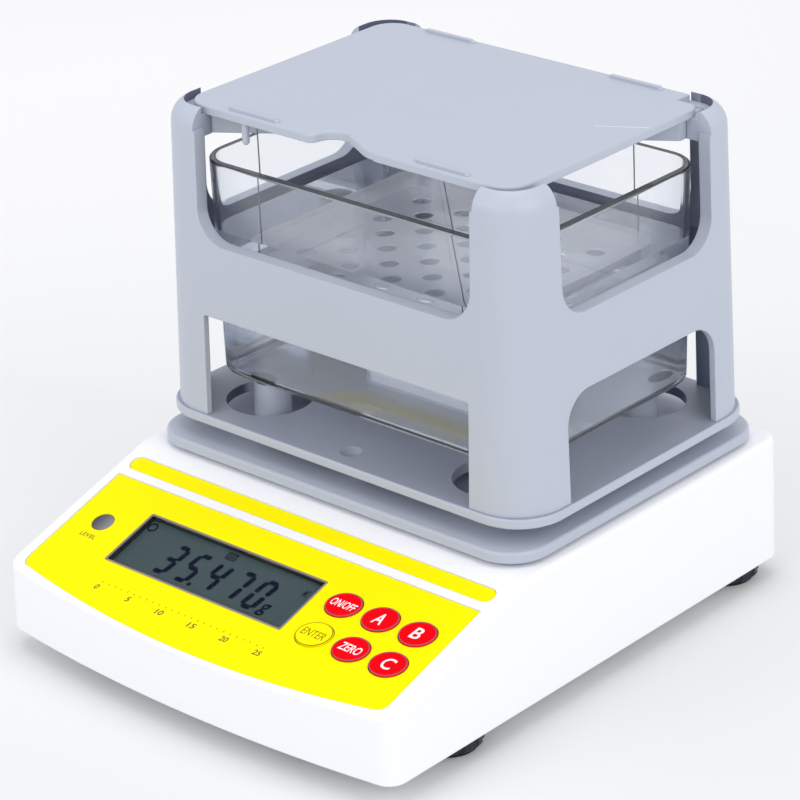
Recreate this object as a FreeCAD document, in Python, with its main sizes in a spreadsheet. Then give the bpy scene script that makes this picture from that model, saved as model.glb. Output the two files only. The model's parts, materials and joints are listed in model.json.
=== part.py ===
# Electronic gold tester: a counter balance with a tower, a hanging tray and a water tank.
# Millimetres, +Z up. The origin is on the counter, under the middle of the housing.
# The front (the sloped control face) looks along -Y.
import FreeCAD
import Part
import Sketcher
import math
import os

doc = FreeCAD.newDocument("GoldTester")
V = FreeCAD.Vector
made = []


# ---------------------------------------------------------------- sizes
class Size:
    """A length that knows its number and the spreadsheet formula that gives it."""

    def __init__(self, value, text):
        self.value = float(value)
        self.text = text

    def __add__(self, other):
        other = amount(other)
        return Size(self.value + other.value, "(%s + %s)" % (self.text, other.text))

    def __radd__(self, other):
        return amount(other) + self

    def __sub__(self, other):
        other = amount(other)
        return Size(self.value - other.value, "(%s - %s)" % (self.text, other.text))

    def __rsub__(self, other):
        return amount(other) - self

    def __mul__(self, other):
        other = amount(other)
        return Size(self.value * other.value, "(%s * %s)" % (self.text, other.text))

    def __rmul__(self, other):
        return amount(other) * self

    def __truediv__(self, other):
        other = amount(other)
        return Size(self.value / other.value, "(%s / %s)" % (self.text, other.text))

    def __neg__(self):
        return Size(-self.value, "(0 - %s)" % self.text)


def amount(number):
    if isinstance(number, Size):
        return number
    text = "%.6g" % number
    if number < 0:
        text = "(0 - %.6g)" % -number
    return Size(number, text)


def sine(angle):
    return Size(math.sin(math.radians(angle.value)), "sin(%s)" % angle.text)


def cosine(angle):
    return Size(math.cos(math.radians(angle.value)), "cos(%s)" % angle.text)


def tangent(angle):
    return Size(math.tan(math.radians(angle.value)), "tan(%s)" % angle.text)


def arctangent(ratio):
    return Size(math.degrees(math.atan(ratio.value)), "atan(%s)" % ratio.text)


sheet = doc.addObject("Spreadsheet::Sheet", "Dimensions")
sheet_rows = []


def size(alias, value, note):
    """Put one driving dimension in the sheet and give it back as a Size."""
    row = len(sheet_rows) + 1
    sheet_rows.append(alias)
    sheet.set("A%d" % row, alias)
    sheet.set("B%d" % row, str(value))
    sheet.set("C%d" % row, note)
    sheet.setAlias("B%d" % row, alias)
    return Size(value, "Dimensions." + alias)


# Housing
house_width = size("house_width", 190, "housing, side to side at the bottom")
house_depth = size("house_depth", 228.5, "housing, bowed front to back")
house_floor = size("house_floor", 8.5, "height of the housing's underside")
deck_top = size("deck_top", 57.8, "height of the flat deck")
house_draft = size("house_draft", 0.8, "degrees the walls lean in")
front_bow = size("front_bow", 7, "how far the front bows out at its middle")
corner_round = size("corner_round", 7, "upright corners of the housing")
edge_round = size("edge_round", 2.2, "top edges of the housing")
bend_round = size("bend_round", 30, "bend between slope and deck")
wall = size("wall", 2.5, "housing wall")
base_thick = size("base_thick", 2.5, "housing base plate")
fit_gap = size("fit_gap", 0.2, "gap round parts set into one another")
move_gap = size("move_gap", 0.35, "gap round parts that move")

# Sloped control face. Places on it are given by x and by s, which runs up the slope.
slope = size("slope", 17.7, "degrees the control face is tilted")
face_back = size("face_back", 51.5, "where s is zero, behind the front of the housing")
face_drop = size("face_drop", 9.4, "where s is zero, below the deck")
face_y = face_back - house_depth / 2
face_z = deck_top - face_drop
lip = size("lip", 0.4, "rim standing above the panel sheet")
sheet_thick = size("sheet_thick", 0.5, "panel sheet")
panel_side = size("panel_side", 6.2, "panel sheet, in from the sides of the housing")
panel_half = house_width / 2 - panel_side
panel_top = size("panel_top", 9.8, "panel sheet, top edge along s")
panel_rim = size("panel_rim", 1.56, "panel sheet, in from the front of the housing along s")
panel_front = face_back / cosine(slope) - panel_rim
panel_bow = size("panel_bow", 9, "bow of the panel sheet's front edge")
panel_round = size("panel_round", 4.5, "panel sheet, front corners")
strip_low = size("strip_low", 14, "title strip, lower edge along s")
strip_high = size("strip_high", 20.8, "title strip, upper edge along s")
window_side = size("window_side", 28.6, "display window, in from the left of the panel")
window_keys = size("window_keys", 13.35, "display window, left of the first column of keys")
window_low = size("window_low", 28.7, "display window, lower edge below s zero")
window_high = size("window_high", 1.55, "display window, upper edge below s zero")
level_side = size("level_side", 13.6, "bubble level, in from the left of the panel")
level_s = size("level_s", 13.5, "bubble level below s zero")
level_r = size("level_r", 4.5, "bubble level window radius")
key_side = size("key_side", 13.19, "last column of keys, in from the right of the panel")
key_pitch_x = size("key_pitch_x", 17.18, "spacing of the key columns")
key_s = size("key_s", 8.75, "first row of keys below s zero")
key_pitch_s = size("key_pitch_s", 16.27, "spacing of the key rows")
key_half_x = size("key_half_x", 7.5, "key opening, half its length")
key_half_s = size("key_half_s", 6.2, "key opening, half its width")
key_turn = size("key_turn", 15, "degrees the key ovals are turned")
key_rise = size("key_rise", 0.6, "key standing above the panel sheet")
key_travel = size("key_travel", 0.5, "key travel")
key_x = panel_half - key_side - key_pitch_x * 2
window_left = panel_half - window_side
window_right = key_x - window_keys
level_x = panel_half - level_side

# Weighing pan, tower and the plate on it, all about one upright axis
tower_back = size("tower_back", 77, "axis of pan, tower and tank, ahead of the housing's back")
tower_y = house_depth / 2 - tower_back
pan_side = size("pan_side", 4.6, "weighing pan, in from the sides of the housing")
pan_half_x = house_width / 2 - pan_side
pan_half_y = size("pan_half_y", 72.3, "weighing pan, half depth")
pan_round = size("pan_round", 16, "weighing pan corners")
pan_gap = size("pan_gap", 1.5, "gap between deck and pan")
pan_thick = size("pan_thick", 4.2, "weighing pan")
pan_under = deck_top + pan_gap
pan_top = pan_under + pan_thick
foot_plate_over = size("foot_plate_over", 0.6, "tower base plate, beyond the pan at the sides")
foot_plate_in = size("foot_plate_in", 4.4, "tower base plate, in from the pan's front and back")
foot_plate_x = pan_half_x + foot_plate_over
foot_plate_y = pan_half_y - foot_plate_in
foot_plate_gap = size("foot_plate_gap", 6.8, "gap between pan and tower base plate")
foot_plate_thick = size("foot_plate_thick", 3.8, "tower base plate")
foot_plate_under = pan_top + foot_plate_gap
foot_plate_top = foot_plate_under + foot_plate_thick
seat_x = size("seat_x", 22, "seats between pan and tower, from the axis")
seat_y = size("seat_y", 44, "seats between pan and tower, from the axis")
big_hole_r = size("big_hole_r", 16.5, "holes in the tower base plate")
small_hole_in = size("small_hole_in", 10.2, "small holes, in from the base plate's edge")
tower_in = size("tower_in", 1.2, "tower foot, in from its base plate")
tower_half_x = foot_plate_x - tower_in
tower_half_y = foot_plate_y - tower_in
tower_round = size("tower_round", 19.5, "tower and base plate corners")
tower_lean = size("tower_lean", 0.0298, "inward lean of the tower, mm per mm")
tower_wall = size("tower_wall", 2.4, "tower wall, lower part")
frame_wall = size("frame_wall", 5, "tower wall round the upper windows")
rail_rise = size("rail_rise", 39.9, "underside of the mid rails, over the base plate")
sill_rise = size("sill_rise", 68.6, "upper window sills, over the base plate")
plate_rise = size("plate_rise", 114.9, "underside of the top plate, over the base plate")
pillar_rise = size("pillar_rise", 4.1, "top of the tower's form, over the top plate's underside")
cap_round = size("cap_round", 9, "rounding of the tower's form at the top")
step_rise = size("step_rise", 110.4, "steps in the window sides, over the base plate")
step_wide = size("step_wide", 1, "windows above the steps, wider each side")
pillar_x = size("pillar_x", 24.8, "pillar width seen from the front")
pillar_y = size("pillar_y", 24.7, "pillar width seen from the side")
rail_under = foot_plate_top + rail_rise
sill_height = foot_plate_top + sill_rise
plate_under = foot_plate_top + plate_rise
tower_top = plate_under + pillar_rise
open_x = tower_half_x - pillar_x
open_y = tower_half_y - pillar_y
plate_play_x = size("plate_play_x", 3.776, "gap between top plate and pillars, each side")
plate_play_y = size("plate_play_y", 2.176, "gap between top plate and pillars, front and back")
plate_half_x = tower_half_x - tower_lean * plate_rise - frame_wall - plate_play_x
plate_half_y = tower_half_y - tower_lean * plate_rise - frame_wall - plate_play_y
plate_round = size("plate_round", 10, "top plate corners")
plate_thick = size("plate_thick", 3.3, "top plate")
shelf_thick = size("shelf_thick", 8, "shelves under the plate's corners")
notch_wide = size("notch_wide", 27, "finger notch")
notch_deep = size("notch_deep", 9, "finger notch")
arm_wide = size("arm_wide", 16.3, "diagonal arms under the plate")
arm_deep = size("arm_deep", 8, "diagonal arms under the plate")
arm_in_x = size("arm_in_x", 6.8, "ends of the arms, in from the plate's sides")
arm_in_y = size("arm_in_y", 9.8, "ends of the arms, in from the plate's front and back")
peg_in = size("peg_in", 29.9, "hanger pegs, in from the plate's sides")
peg_r = size("peg_r", 1.35, "hanger pegs")
rib_in = size("rib_in", 33.1, "middles of the ribs on the plate, in from its sides")
corner_cut_x = size("corner_cut_x", 0.6, "step in the plate's rear right corner, in from its round")
corner_cut_y = size("corner_cut_y", 7.4, "step in the plate's rear right corner, in from the back")

# Tank, posts and tray
rim_in_x = size("rim_in_x", 1.1, "tank rim, in from the top plate's sides")
rim_in_y = size("rim_in_y", 1.6, "tank rim, in from the top plate's front and back")
rim_gap = size("rim_gap", 11.3, "gap between the tank rim and the arms over it")
tank_rise = size("tank_rise", 10.4, "underside of the tank, over the tower's base plate")
rim_x = plate_half_x - rim_in_x
rim_y = plate_half_y - rim_in_y
rim_height = plate_under - arm_deep - rim_gap
tank_under = foot_plate_top + tank_rise
tank_taper = size("tank_taper", 1.5, "how much narrower the tank is at the bottom, each side")
tank_round = size("tank_round", 14, "tank corners")
tank_wall = size("tank_wall", 3, "tank wall and floor")
post_in_x = size("post_in_x", 23, "posts, in from the tank rim's sides")
post_in_y = size("post_in_y", 12, "posts, in from the tank rim's front and back")
post_x = rim_x - post_in_x
post_y = rim_y - post_in_y
post_r = size("post_r", 7.3, "posts at the deck")
post_tip_r = size("post_tip_r", 6.9, "posts at the tank")
pad_thick = size("pad_thick", 1.5, "rubber pads on the posts")
post_gap = size("post_gap", 1.3, "gap round the posts in the pan")
tray_in_x = size("tray_in_x", 19.5, "hanging tray, in from the tank rim's sides")
tray_in_y = size("tray_in_y", 10, "hanging tray, in from the tank rim's front and back")
tray_rise = size("tray_rise", 30.5, "underside of the tray, over the tank's floor")
tray_half_x = rim_x - tray_in_x
tray_half_y = rim_y - tray_in_y
tray_under = tank_under + tank_wall + tray_rise
tray_high = size("tray_high", 14, "hanging tray height")
tray_wall = size("tray_wall", 1.6, "hanging tray wall")
tray_flange = size("tray_flange", 3, "hanging tray rim, outward")
tray_hole_r = size("tray_hole_r", 3.75, "tray holes")
tray_pitch = size("tray_pitch", 20.8, "spacing of one set of tray holes")
wire_r = size("wire_r", 0.25, "hanging wires")
wire_in_x = size("wire_in_x", 7.4, "wires at the tray, in from its sides")
wire_out_y = size("wire_out_y", 1.7, "wires at the tray, out from its front and back")
wire_in_y = size("wire_in_y", 3.6, "wires at the plate, in from its front and back")
wire_in_top = size("wire_in_top", 33.6, "wires at the plate, in from its sides")
peg_x = plate_half_x - peg_in
wire_top_x = plate_half_x - wire_in_top
wire_top_y = plate_half_y - wire_in_y
wire_low_x = tray_half_x - wire_in_x
wire_low_y = tray_half_y + wire_out_y

# Levelling feet
foot_side = size("foot_side", 15.8, "feet, in from the sides of the housing")
foot_front_in = size("foot_front_in", 53, "front feet, behind the front of the housing")
foot_rear_in = size("foot_rear_in", 14.75, "rear feet, ahead of the back of the housing")
foot_x = house_width / 2 - foot_side
foot_front = house_depth / 2 - foot_front_in
foot_rear = house_depth / 2 - foot_rear_in
knob_r = size("knob_r", 12.6, "foot knob")
knob_flute_r = size("knob_flute_r", 2.2, "scallops round the foot knob")
pad_r = size("pad_r", 10.5, "foot pad")
pad_high = size("pad_high", 1.6, "foot pad")
stud_r = size("stud_r", 2.95, "foot stud")
stud_gap = size("stud_gap", 0.07, "running fit of the foot stud")
insert_r = size("insert_r", 4.5, "brass insert")
foot_boss_r = size("foot_boss_r", 8, "boss round the brass insert")
foot_boss_top = size("foot_boss_top", 24, "height of the foot bosses")

# Load cell and boards
cell_long = size("cell_long", 80, "load cell bar")
cell_wide = size("cell_wide", 12.7, "load cell bar width and height")
cell_under = size("cell_under", 24, "height of the load cell's underside")
bridge_under = size("bridge_under", 44, "height of the pan support plate's underside")
bridge_thick = size("bridge_thick", 3.5, "pan support plate")
column_r = size("column_r", 4.5, "columns of the pan support")
overload_gap = size("overload_gap", 0.4, "travel of the pan down to its stop")
pin_r = size("pin_r", 2.4, "locating pins of pan and tower")
screw_r = size("screw_r", 1.5, "small screws")
head_r = size("head_r", 2.8, "small screw heads")
head_high = size("head_high", 1.8, "small screw heads")
screw_fit = size("screw_fit", 0.05, "gap round screws in their holes")
cover_screw_in = size("cover_screw_in", 9.5, "cover screws, in from the sides and the back")
cover_screw_side = size("cover_screw_side", 49, "front and back cover screws, in from the sides")
cover_screw_y = size("cover_screw_y", 22, "side cover screws, behind the middle")
board_half_x = size("board_half_x", 48, "main board, half width")
board_half_y = size("board_half_y", 26, "main board, half depth")
board_gap = size("board_gap", 2, "gap between the main board and a foot boss or the load cell")
inlet_beside = size("inlet_beside", 14, "power inlet, beside a back cover screw")
inlet_rise = size("inlet_rise", 11, "power inlet, over the housing's base plate")

base_top = house_floor + base_thick
cover_screw_x = house_width / 2 - cover_screw_side
board_x = foot_boss_r + board_gap + board_half_x - foot_x
board_y = tower_y - cell_long / 2 - board_half_y - board_gap
inlet_x = cover_screw_x + inlet_beside
inlet_z = base_top + inlet_rise
knob_under = pad_high + 0.2
knob_top = house_floor - 0.5


# ---------------------------------------------------------------- helpers
def bind(item, path, value):
    """Tie one property to the sheet."""
    item.setExpression(path, amount(value).text)


def new_body(label):
    body = doc.addObject("PartDesign::Body", label)
    body.Label = label
    body.AllowCompound = True
    made.append(body)
    return body


def origin_plane(body, role):
    for feature in body.Origin.OriginFeatures:
        if feature.Role == role:
            return feature


def sketch_on(body, name, role="XY_Plane", x=0, y=0, z=0):
    """A sketch parallel to an origin plane, moved to x, y and (along its normal) z."""
    sketch = body.newObject("Sketcher::SketchObject", name)
    sketch.AttachmentSupport = (origin_plane(body, role), [""])
    sketch.MapMode = "FlatFace"
    bind(sketch, "AttachmentOffset.Base.x", x)
    bind(sketch, "AttachmentOffset.Base.y", y)
    bind(sketch, "AttachmentOffset.Base.z", z)
    return sketch


def sketch_on_slope(body, name, rise=0):
    """A sketch on the control face, with s as its upright axis, raised along the normal."""
    sketch = body.newObject("Sketcher::SketchObject", name)
    sketch.AttachmentSupport = (origin_plane(body, "XY_Plane"), [""])
    sketch.MapMode = "FlatFace"
    turn = FreeCAD.Rotation(V(1, 0, 0), slope.value)
    sketch.AttachmentOffset = FreeCAD.Placement(V(0, 0, 0), turn)
    rise = amount(rise)
    bind(sketch, "AttachmentOffset.Base.y", face_y - rise * sine(slope))
    bind(sketch, "AttachmentOffset.Base.z", face_z + rise * cosine(slope))
    bind(sketch, "AttachmentOffset.Rotation.Angle", slope)
    return sketch


def fix_along(sketch, kind, geo, vertex, value):
    """Hold one coordinate of a point at a value measured from the sketch origin."""
    value = amount(value)
    if abs(value.value) < 1e-9:
        other = -2 if kind == "DistanceX" else -1
        sketch.addConstraint(Sketcher.Constraint("PointOnObject", geo, vertex, other))
        return
    if value.value > 0:
        rule = Sketcher.Constraint(kind, -1, 1, geo, vertex, value.value)
        text = value.text
    else:
        rule = Sketcher.Constraint(kind, geo, vertex, -1, 1, -value.value)
        text = (-value).text
    index = sketch.addConstraint(rule)
    sketch.setExpression("Constraints[%d]" % index, text)


def fix_point(sketch, geo, vertex, x, y):
    fix_along(sketch, "DistanceX", geo, vertex, x)
    fix_along(sketch, "DistanceY", geo, vertex, y)


def fix_length(sketch, kind, geo, value):
    value = amount(value)
    index = sketch.addConstraint(Sketcher.Constraint(kind, geo, value.value))
    sketch.setExpression("Constraints[%d]" % index, value.text)


def circle(sketch, x, y, r):
    x = amount(x)
    y = amount(y)
    r = amount(r)
    ring = Part.Circle(V(x.value, y.value, 0), V(0, 0, 1), r.value)
    geo = sketch.addGeometry(ring, False)
    fix_point(sketch, geo, 3, x, y)
    fix_length(sketch, "Radius", geo, r)


def oval(sketch, x, y, half_x, half_y):
    """An ellipse whose longer half leans up from the sketch's level axis by the key turn."""
    tip_x = x + half_x * cosine(key_turn)
    tip_y = y + half_x * sine(key_turn)
    flank_x = x - half_y * sine(key_turn)
    flank_y = y + half_y * cosine(key_turn)
    tip = V(tip_x.value, tip_y.value, 0)
    flank = V(flank_x.value, flank_y.value, 0)
    centre = V(x.value, y.value, 0)
    geo = sketch.addGeometry(Part.Ellipse(tip, flank, centre), False)
    sketch.exposeInternalGeometry(geo)
    fix_point(sketch, geo, 3, x, y)
    end = 1 if sketch.getPoint(geo + 1, 1).distanceToPoint(tip) < 0.01 else 2
    fix_point(sketch, geo + 1, end, tip_x, tip_y)
    fix_length(sketch, "Distance", geo + 2, half_y * 2)


def polygon(sketch, corners):
    """A closed outline with straight sides through the given corners."""
    points = [V(amount(x).value, amount(y).value, 0) for x, y in corners]
    count = len(points)
    first = None
    for k in range(count):
        geo = sketch.addGeometry(Part.LineSegment(points[k], points[(k + 1) % count]), False)
        if first is None:
            first = geo
    for k in range(count):
        after = first + (k + 1) % count
        sketch.addConstraint(Sketcher.Constraint("Coincident", first + k, 2, after, 1))
    for k in range(count):
        fix_point(sketch, first + k, 1, corners[k][0], corners[k][1])
    return first


def rounded(sketch, half_x, half_y, r, x=0, y=0):
    """A rectangle with round corners about the point x, y."""
    half_x = amount(half_x)
    half_y = amount(half_y)
    r = amount(r)
    x = amount(x)
    y = amount(y)
    arcs = []
    lines = []
    turns = [(1, 1, 0), (-1, 1, 90), (-1, -1, 180), (1, -1, 270)]
    for sx, sy, start in turns:
        centre = V(x.value + sx * (half_x - r).value, y.value + sy * (half_y - r).value, 0)
        ring = Part.Circle(centre, V(0, 0, 1), r.value)
        arc = Part.ArcOfCircle(ring, math.radians(start), math.radians(start + 90))
        arcs.append(sketch.addGeometry(arc, False))
    for k in range(4):
        one = sketch.getPoint(arcs[k], 2)
        two = sketch.getPoint(arcs[(k + 1) % 4], 1)
        lines.append(sketch.addGeometry(Part.LineSegment(one, two), False))
    for k in range(4):
        sketch.addConstraint(Sketcher.Constraint("Tangent", arcs[k], 2, lines[k], 1))
        sketch.addConstraint(Sketcher.Constraint("Tangent", lines[k], 2, arcs[(k + 1) % 4], 1))
    fix_length(sketch, "Radius", arcs[0], r)
    for k in (1, 2, 3):
        sketch.addConstraint(Sketcher.Constraint("Equal", arcs[0], arcs[k]))
    fix_point(sketch, arcs[0], 3, x + half_x - r, y + half_y - r)
    fix_point(sketch, arcs[2], 3, x - half_x + r, y - half_y + r)
    sketch.addConstraint(Sketcher.Constraint("Vertical", lines[1]))
    sketch.addConstraint(Sketcher.Constraint("Horizontal", lines[0]))


def pad(body, name, sketch, length, down=False, draft=None):
    feature = body.newObject("PartDesign::Pad", name)
    feature.Profile = sketch
    feature.Reversed = down
    bind(feature, "Length", length)
    if draft is not None:
        bind(feature, "TaperAngle", draft)
    sketch.Visibility = False
    return feature


def cut(body, name, sketch, length, up=False):
    """A pocket: along minus the sketch normal, or along it with up."""
    feature = body.newObject("PartDesign::Pocket", name)
    feature.Profile = sketch
    feature.Reversed = up
    bind(feature, "Length", length)
    return feature


def cut_through(body, name, sketch):
    """A pocket through everything, both ways from the sketch."""
    feature = body.newObject("PartDesign::Pocket", name)
    feature.Profile = sketch
    feature.Type = "ThroughAll"
    feature.SideType = "Symmetric"
    return feature


def loft(body, name, kind, low, high):
    feature = body.newObject("PartDesign::" + kind, name)
    feature.Profile = low
    feature.Sections = [high]
    feature.Ruled = True
    return feature


def edges_where(feature, test):
    """Names of the edges of a finished feature that pass a test on their midpoint."""
    doc.recompute()
    names = []
    for k, edge in enumerate(feature.Shape.Edges):
        middle = edge.valueAt((edge.FirstParameter + edge.LastParameter) / 2)
        if test(edge, middle):
            names.append("Edge%d" % (k + 1))
    return names


def soften(body, name, base, names, radius, kind="Fillet"):
    feature = body.newObject("PartDesign::" + kind, name)
    feature.Base = (base, names)
    bind(feature, "Radius" if kind == "Fillet" else "Size", radius)
    return feature


def rod(label, x, y, low, r, height, tip_r=None):
    """One upright round piece as a primitive."""
    if tip_r is None:
        piece = doc.addObject("Part::Cylinder", label)
        bind(piece, "Radius", r)
    else:
        piece = doc.addObject("Part::Cone", label)
        bind(piece, "Radius1", r)
        bind(piece, "Radius2", tip_r)
    bind(piece, "Height", height)
    bind(piece, "Placement.Base.x", x)
    bind(piece, "Placement.Base.y", y)
    bind(piece, "Placement.Base.z", low)
    return piece


def block(label, x, y, z, half_x, half_y, height):
    """One upright box about x, y standing on z."""
    piece = doc.addObject("Part::Box", label)
    bind(piece, "Length", amount(half_x) * 2)
    bind(piece, "Width", amount(half_y) * 2)
    bind(piece, "Height", height)
    bind(piece, "Placement.Base.x", amount(x) - half_x)
    bind(piece, "Placement.Base.y", amount(y) - half_y)
    bind(piece, "Placement.Base.z", z)
    return piece


def group(label, pieces):
    """Separate solids that share one node."""
    together = doc.addObject("Part::Compound", label)
    together.Label = label
    together.Links = pieces
    made.append(together)
    return together


def less(label, base, tools):
    """A base with tools cut from it."""
    tool = tools[0]
    if len(tools) > 1:
        tool = doc.addObject("Part::MultiFuse", label + "_tools")
        tool.Shapes = tools
    result = doc.addObject("Part::Cut", label)
    result.Label = label
    result.Base = base
    result.Tool = tool
    return result


def joined(label, pieces):
    result = doc.addObject("Part::MultiFuse", label)
    result.Label = label
    result.Shapes = pieces
    return result


def screw(label, x, y, head_low, length, down=True, r=None, big=None):
    """A pan head screw. With down the shank runs down from the head, else up."""
    r = screw_r if r is None else r
    big = head_r if big is None else big
    head = rod(label + "_head", x, y, head_low, big, head_high)
    start = amount(head_low) - length if down else amount(head_low) + head_high
    shank = rod(label + "_shank", x, y, start, r, length)
    return joined(label, [head, shank])


def four(x, y):
    """The four places at plus and minus x and y about the tower axis."""
    return [(-x, tower_y - y), (x, tower_y - y), (-x, tower_y + y), (x, tower_y + y)]


def feet():
    """The four feet: name, x and y."""
    return [
        ("front_left", -foot_x, -foot_front),
        ("front_right", foot_x, -foot_front),
        ("rear_left", -foot_x, foot_rear),
        ("rear_right", foot_x, foot_rear),
    ]


def keys():
    """The six keys: name, x and s."""
    low = key_s + key_pitch_s
    return [
        ("key_on_off", key_x, -key_s),
        ("key_a", key_x + key_pitch_x, -key_s),
        ("key_b", key_x + key_pitch_x * 2, -key_s),
        ("key_enter", key_x, -low),
        ("key_zero", key_x + key_pitch_x, -low),
        ("key_c", key_x + key_pitch_x * 2, -low),
    ]


def housing_screws_at():
    """The six screws that hold the housing cover to its base: x and y."""
    side = house_width / 2 - cover_screw_in
    back = house_depth / 2 - cover_screw_in
    front = back - 1
    return [
        (-side, cover_screw_y),
        (side, cover_screw_y),
        (-cover_screw_x, back),
        (cover_screw_x, back),
        (-cover_screw_x, -front),
        (cover_screw_x, -front),
    ]


def board_corners(half_x, half_y, x, y):
    return [(x - half_x, y - half_y), (x + half_x, y - half_y),
            (x - half_x, y + half_y), (x + half_x, y + half_y)]


# ---------------------------------------------------------------- housing
def bowed_outline(sketch, inset, half=None, rear=None, front=None, bow=None):
    """Straight sides and back with an arc across the front."""
    half = house_width / 2 if half is None else half
    rear = house_depth / 2 if rear is None else rear
    front = house_depth / 2 if front is None else front
    bow = front_bow if bow is None else bow
    side = half - inset
    back = rear - inset
    tip = -(front - inset)
    shoulder = tip + bow
    a = V(side.value, shoulder.value, 0)
    b = V(side.value, back.value, 0)
    c = V(-side.value, back.value, 0)
    d = V(-side.value, shoulder.value, 0)
    middle = V(0, tip.value, 0)
    right = sketch.addGeometry(Part.LineSegment(a, b), False)
    rearward = sketch.addGeometry(Part.LineSegment(b, c), False)
    left = sketch.addGeometry(Part.LineSegment(c, d), False)
    arc = sketch.addGeometry(Part.Arc(d, middle, a), False)
    mark = sketch.addGeometry(Part.Point(middle), False)
    sketch.toggleConstruction(mark)
    begins = 1 if sketch.getPoint(arc, 1).distanceToPoint(d) < 1e-6 else 2
    for one, end, two, start in ((right, 2, rearward, 1), (rearward, 2, left, 1),
                                 (left, 2, arc, begins), (arc, 3 - begins, right, 1)):
        sketch.addConstraint(Sketcher.Constraint("Coincident", one, end, two, start))
    fix_point(sketch, right, 1, side, shoulder)
    fix_point(sketch, right, 2, side, back)
    fix_point(sketch, left, 1, -side, back)
    fix_point(sketch, left, 2, -side, shoulder)
    fix_point(sketch, mark, 1, 0, tip)
    sketch.addConstraint(Sketcher.Constraint("PointOnObject", mark, 1, arc))


def upright(edge, middle):
    a = edge.valueAt(edge.FirstParameter)
    b = edge.valueAt(edge.LastParameter)
    return abs(a.z - b.z) > 5 and math.hypot(a.x - b.x, a.y - b.y) < 4


def house_form(body, inset, low, drop, corner):
    """The housing's outside, or its cavity when inset and dropped by the wall."""
    plan = sketch_on(body, body.Name + "_plan", z=low)
    bowed_outline(plan, amount(inset))
    high = deck_top - low - drop
    form = pad(body, body.Name + "_form", plan, high, draft=-house_draft)
    corners = edges_where(form, upright)
    form = soften(body, body.Name + "_corners", form, corners, corner)
    # the side view: everything above the slope and ahead of the deck goes
    above = (lip - drop) / cosine(slope)
    ahead = house_depth
    bend = (deck_top - drop - face_z - above) / tangent(slope)
    profile = sketch_on(body, body.Name + "_slope", "YZ_Plane")
    polygon(profile, [
        (face_y + bend, deck_top - drop),
        (face_y + bend, deck_top * 2),
        (face_y - ahead, deck_top * 2),
        (face_y - ahead, face_z + above - ahead * tangent(slope)),
    ])
    return cut_through(body, body.Name + "_sloped", profile)


def housing_cover():
    cavity = doc.addObject("PartDesign::Body", "cavity")
    cavity.AllowCompound = True
    house_form(cavity, wall, house_floor, wall + lip, corner_round - wall)
    bosses = sketch_on(cavity, "boss_holes", z=house_floor)
    for x, y in housing_screws_at():
        circle(bosses, x, y, 4)
    cut_through(cavity, "boss_gaps", bosses)
    doc.recompute()

    body = new_body("housing_cover")
    form = house_form(body, 0, house_floor, amount(0), corner_round)
    bend = edges_where(form, lambda e, m: abs(m.x) < 1 and m.z > deck_top.value - 0.5
                       and abs(m.y) < house_depth.value / 2 - 14)
    form = soften(body, "cover_bend", form, bend, bend_round)

    def top_edge(edge, middle):
        level = min(deck_top.value, face_z.value + (middle.y - face_y.value)
                    * math.tan(math.radians(slope.value)))
        across = abs(middle.x) < 1 and abs(middle.y) < house_depth.value / 2 - 14
        return middle.z > level - 1.2 and not across
    form = soften(body, "cover_edges", form, edges_where(form, top_edge), edge_round)
    hollow = body.newObject("PartDesign::Boolean", "cover_hollow")
    hollow.Type = "Cut"
    hollow.setObjects([cavity])
    doc.recompute()

    seat = sketch_on(body, "base_seat", z=house_floor)
    bowed_outline(seat, wall)
    cut(body, "base_seat_cut", seat, base_thick, up=True)
    recess = sketch_on_slope(body, "panel_recess", lip + 5)
    panel_outline(recess, fit_gap)
    form = cut(body, "panel_recess_cut", recess, lip + 5 + sheet_thick)
    soften(body, "panel_recess_corners", form, edges_where(form, panel_corner), panel_round)
    recess = sketch_on_slope(body, "strip_recess", lip + 5)
    strip_outline(recess, fit_gap)
    cut(body, "strip_recess_cut", recess, lip + 5 + sheet_thick)
    holes = sketch_on_slope(body, "face_holes", lip)
    window_outline(holes, 0)
    circle(holes, -level_x, -level_s, level_r + 0.8)
    for name, x, s in keys():
        oval(holes, x, s, key_half_x, key_half_s)
    cut(body, "face_holes_cut", holes, lip + wall + 2)

    holes = sketch_on(body, "deck_holes", z=deck_top + 1)
    for x, y in four(seat_x, seat_y):
        circle(holes, x, y, column_r + 2)
    for x, y in four(post_x, post_y):
        circle(holes, x, y, 2 + screw_fit)
    cut(body, "deck_holes_cut", holes, wall + lip + 2)
    pilot = sketch_on(body, "boss_pilots", z=house_floor)
    for x, y in housing_screws_at():
        circle(pilot, x, y, screw_r + screw_fit)
    cut(body, "boss_pilots_cut", pilot, base_thick + 12, up=True)
    inlet = sketch_on(body, "inlet_hole", "XZ_Plane", z=-house_depth / 2 - 5)
    circle(inlet, inlet_x, inlet_z, 5.7)
    cut(body, "inlet_hole_cut", inlet, 5 + wall + 3, up=True)
    posts = sketch_on_slope(body, "board_posts", -KEY_BOARD_DEPTH)
    for x, s in key_board_corners() + display_board_corners():
        circle(posts, x, s, 2.6)
    pad(body, "board_posts_pad", posts, KEY_BOARD_DEPTH - wall + 0.6)
    pilot = sketch_on_slope(body, "board_pilots", -KEY_BOARD_DEPTH)
    for x, s in key_board_corners() + display_board_corners():
        circle(pilot, x, s, 1 + screw_fit)
    cut(body, "board_pilots_cut", pilot, 5, up=True)
    return body


KEY_BOARD_DEPTH = wall + 7


def key_board_corners():
    x = key_x + key_pitch_x
    s = -(key_s + key_pitch_s / 2)
    half = key_pitch_x + 6.5
    tall = key_pitch_s / 2 + 8
    return [(x - half, s - tall), (x + half, s - tall), (x - half, s + tall), (x + half, s + tall)]


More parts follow.
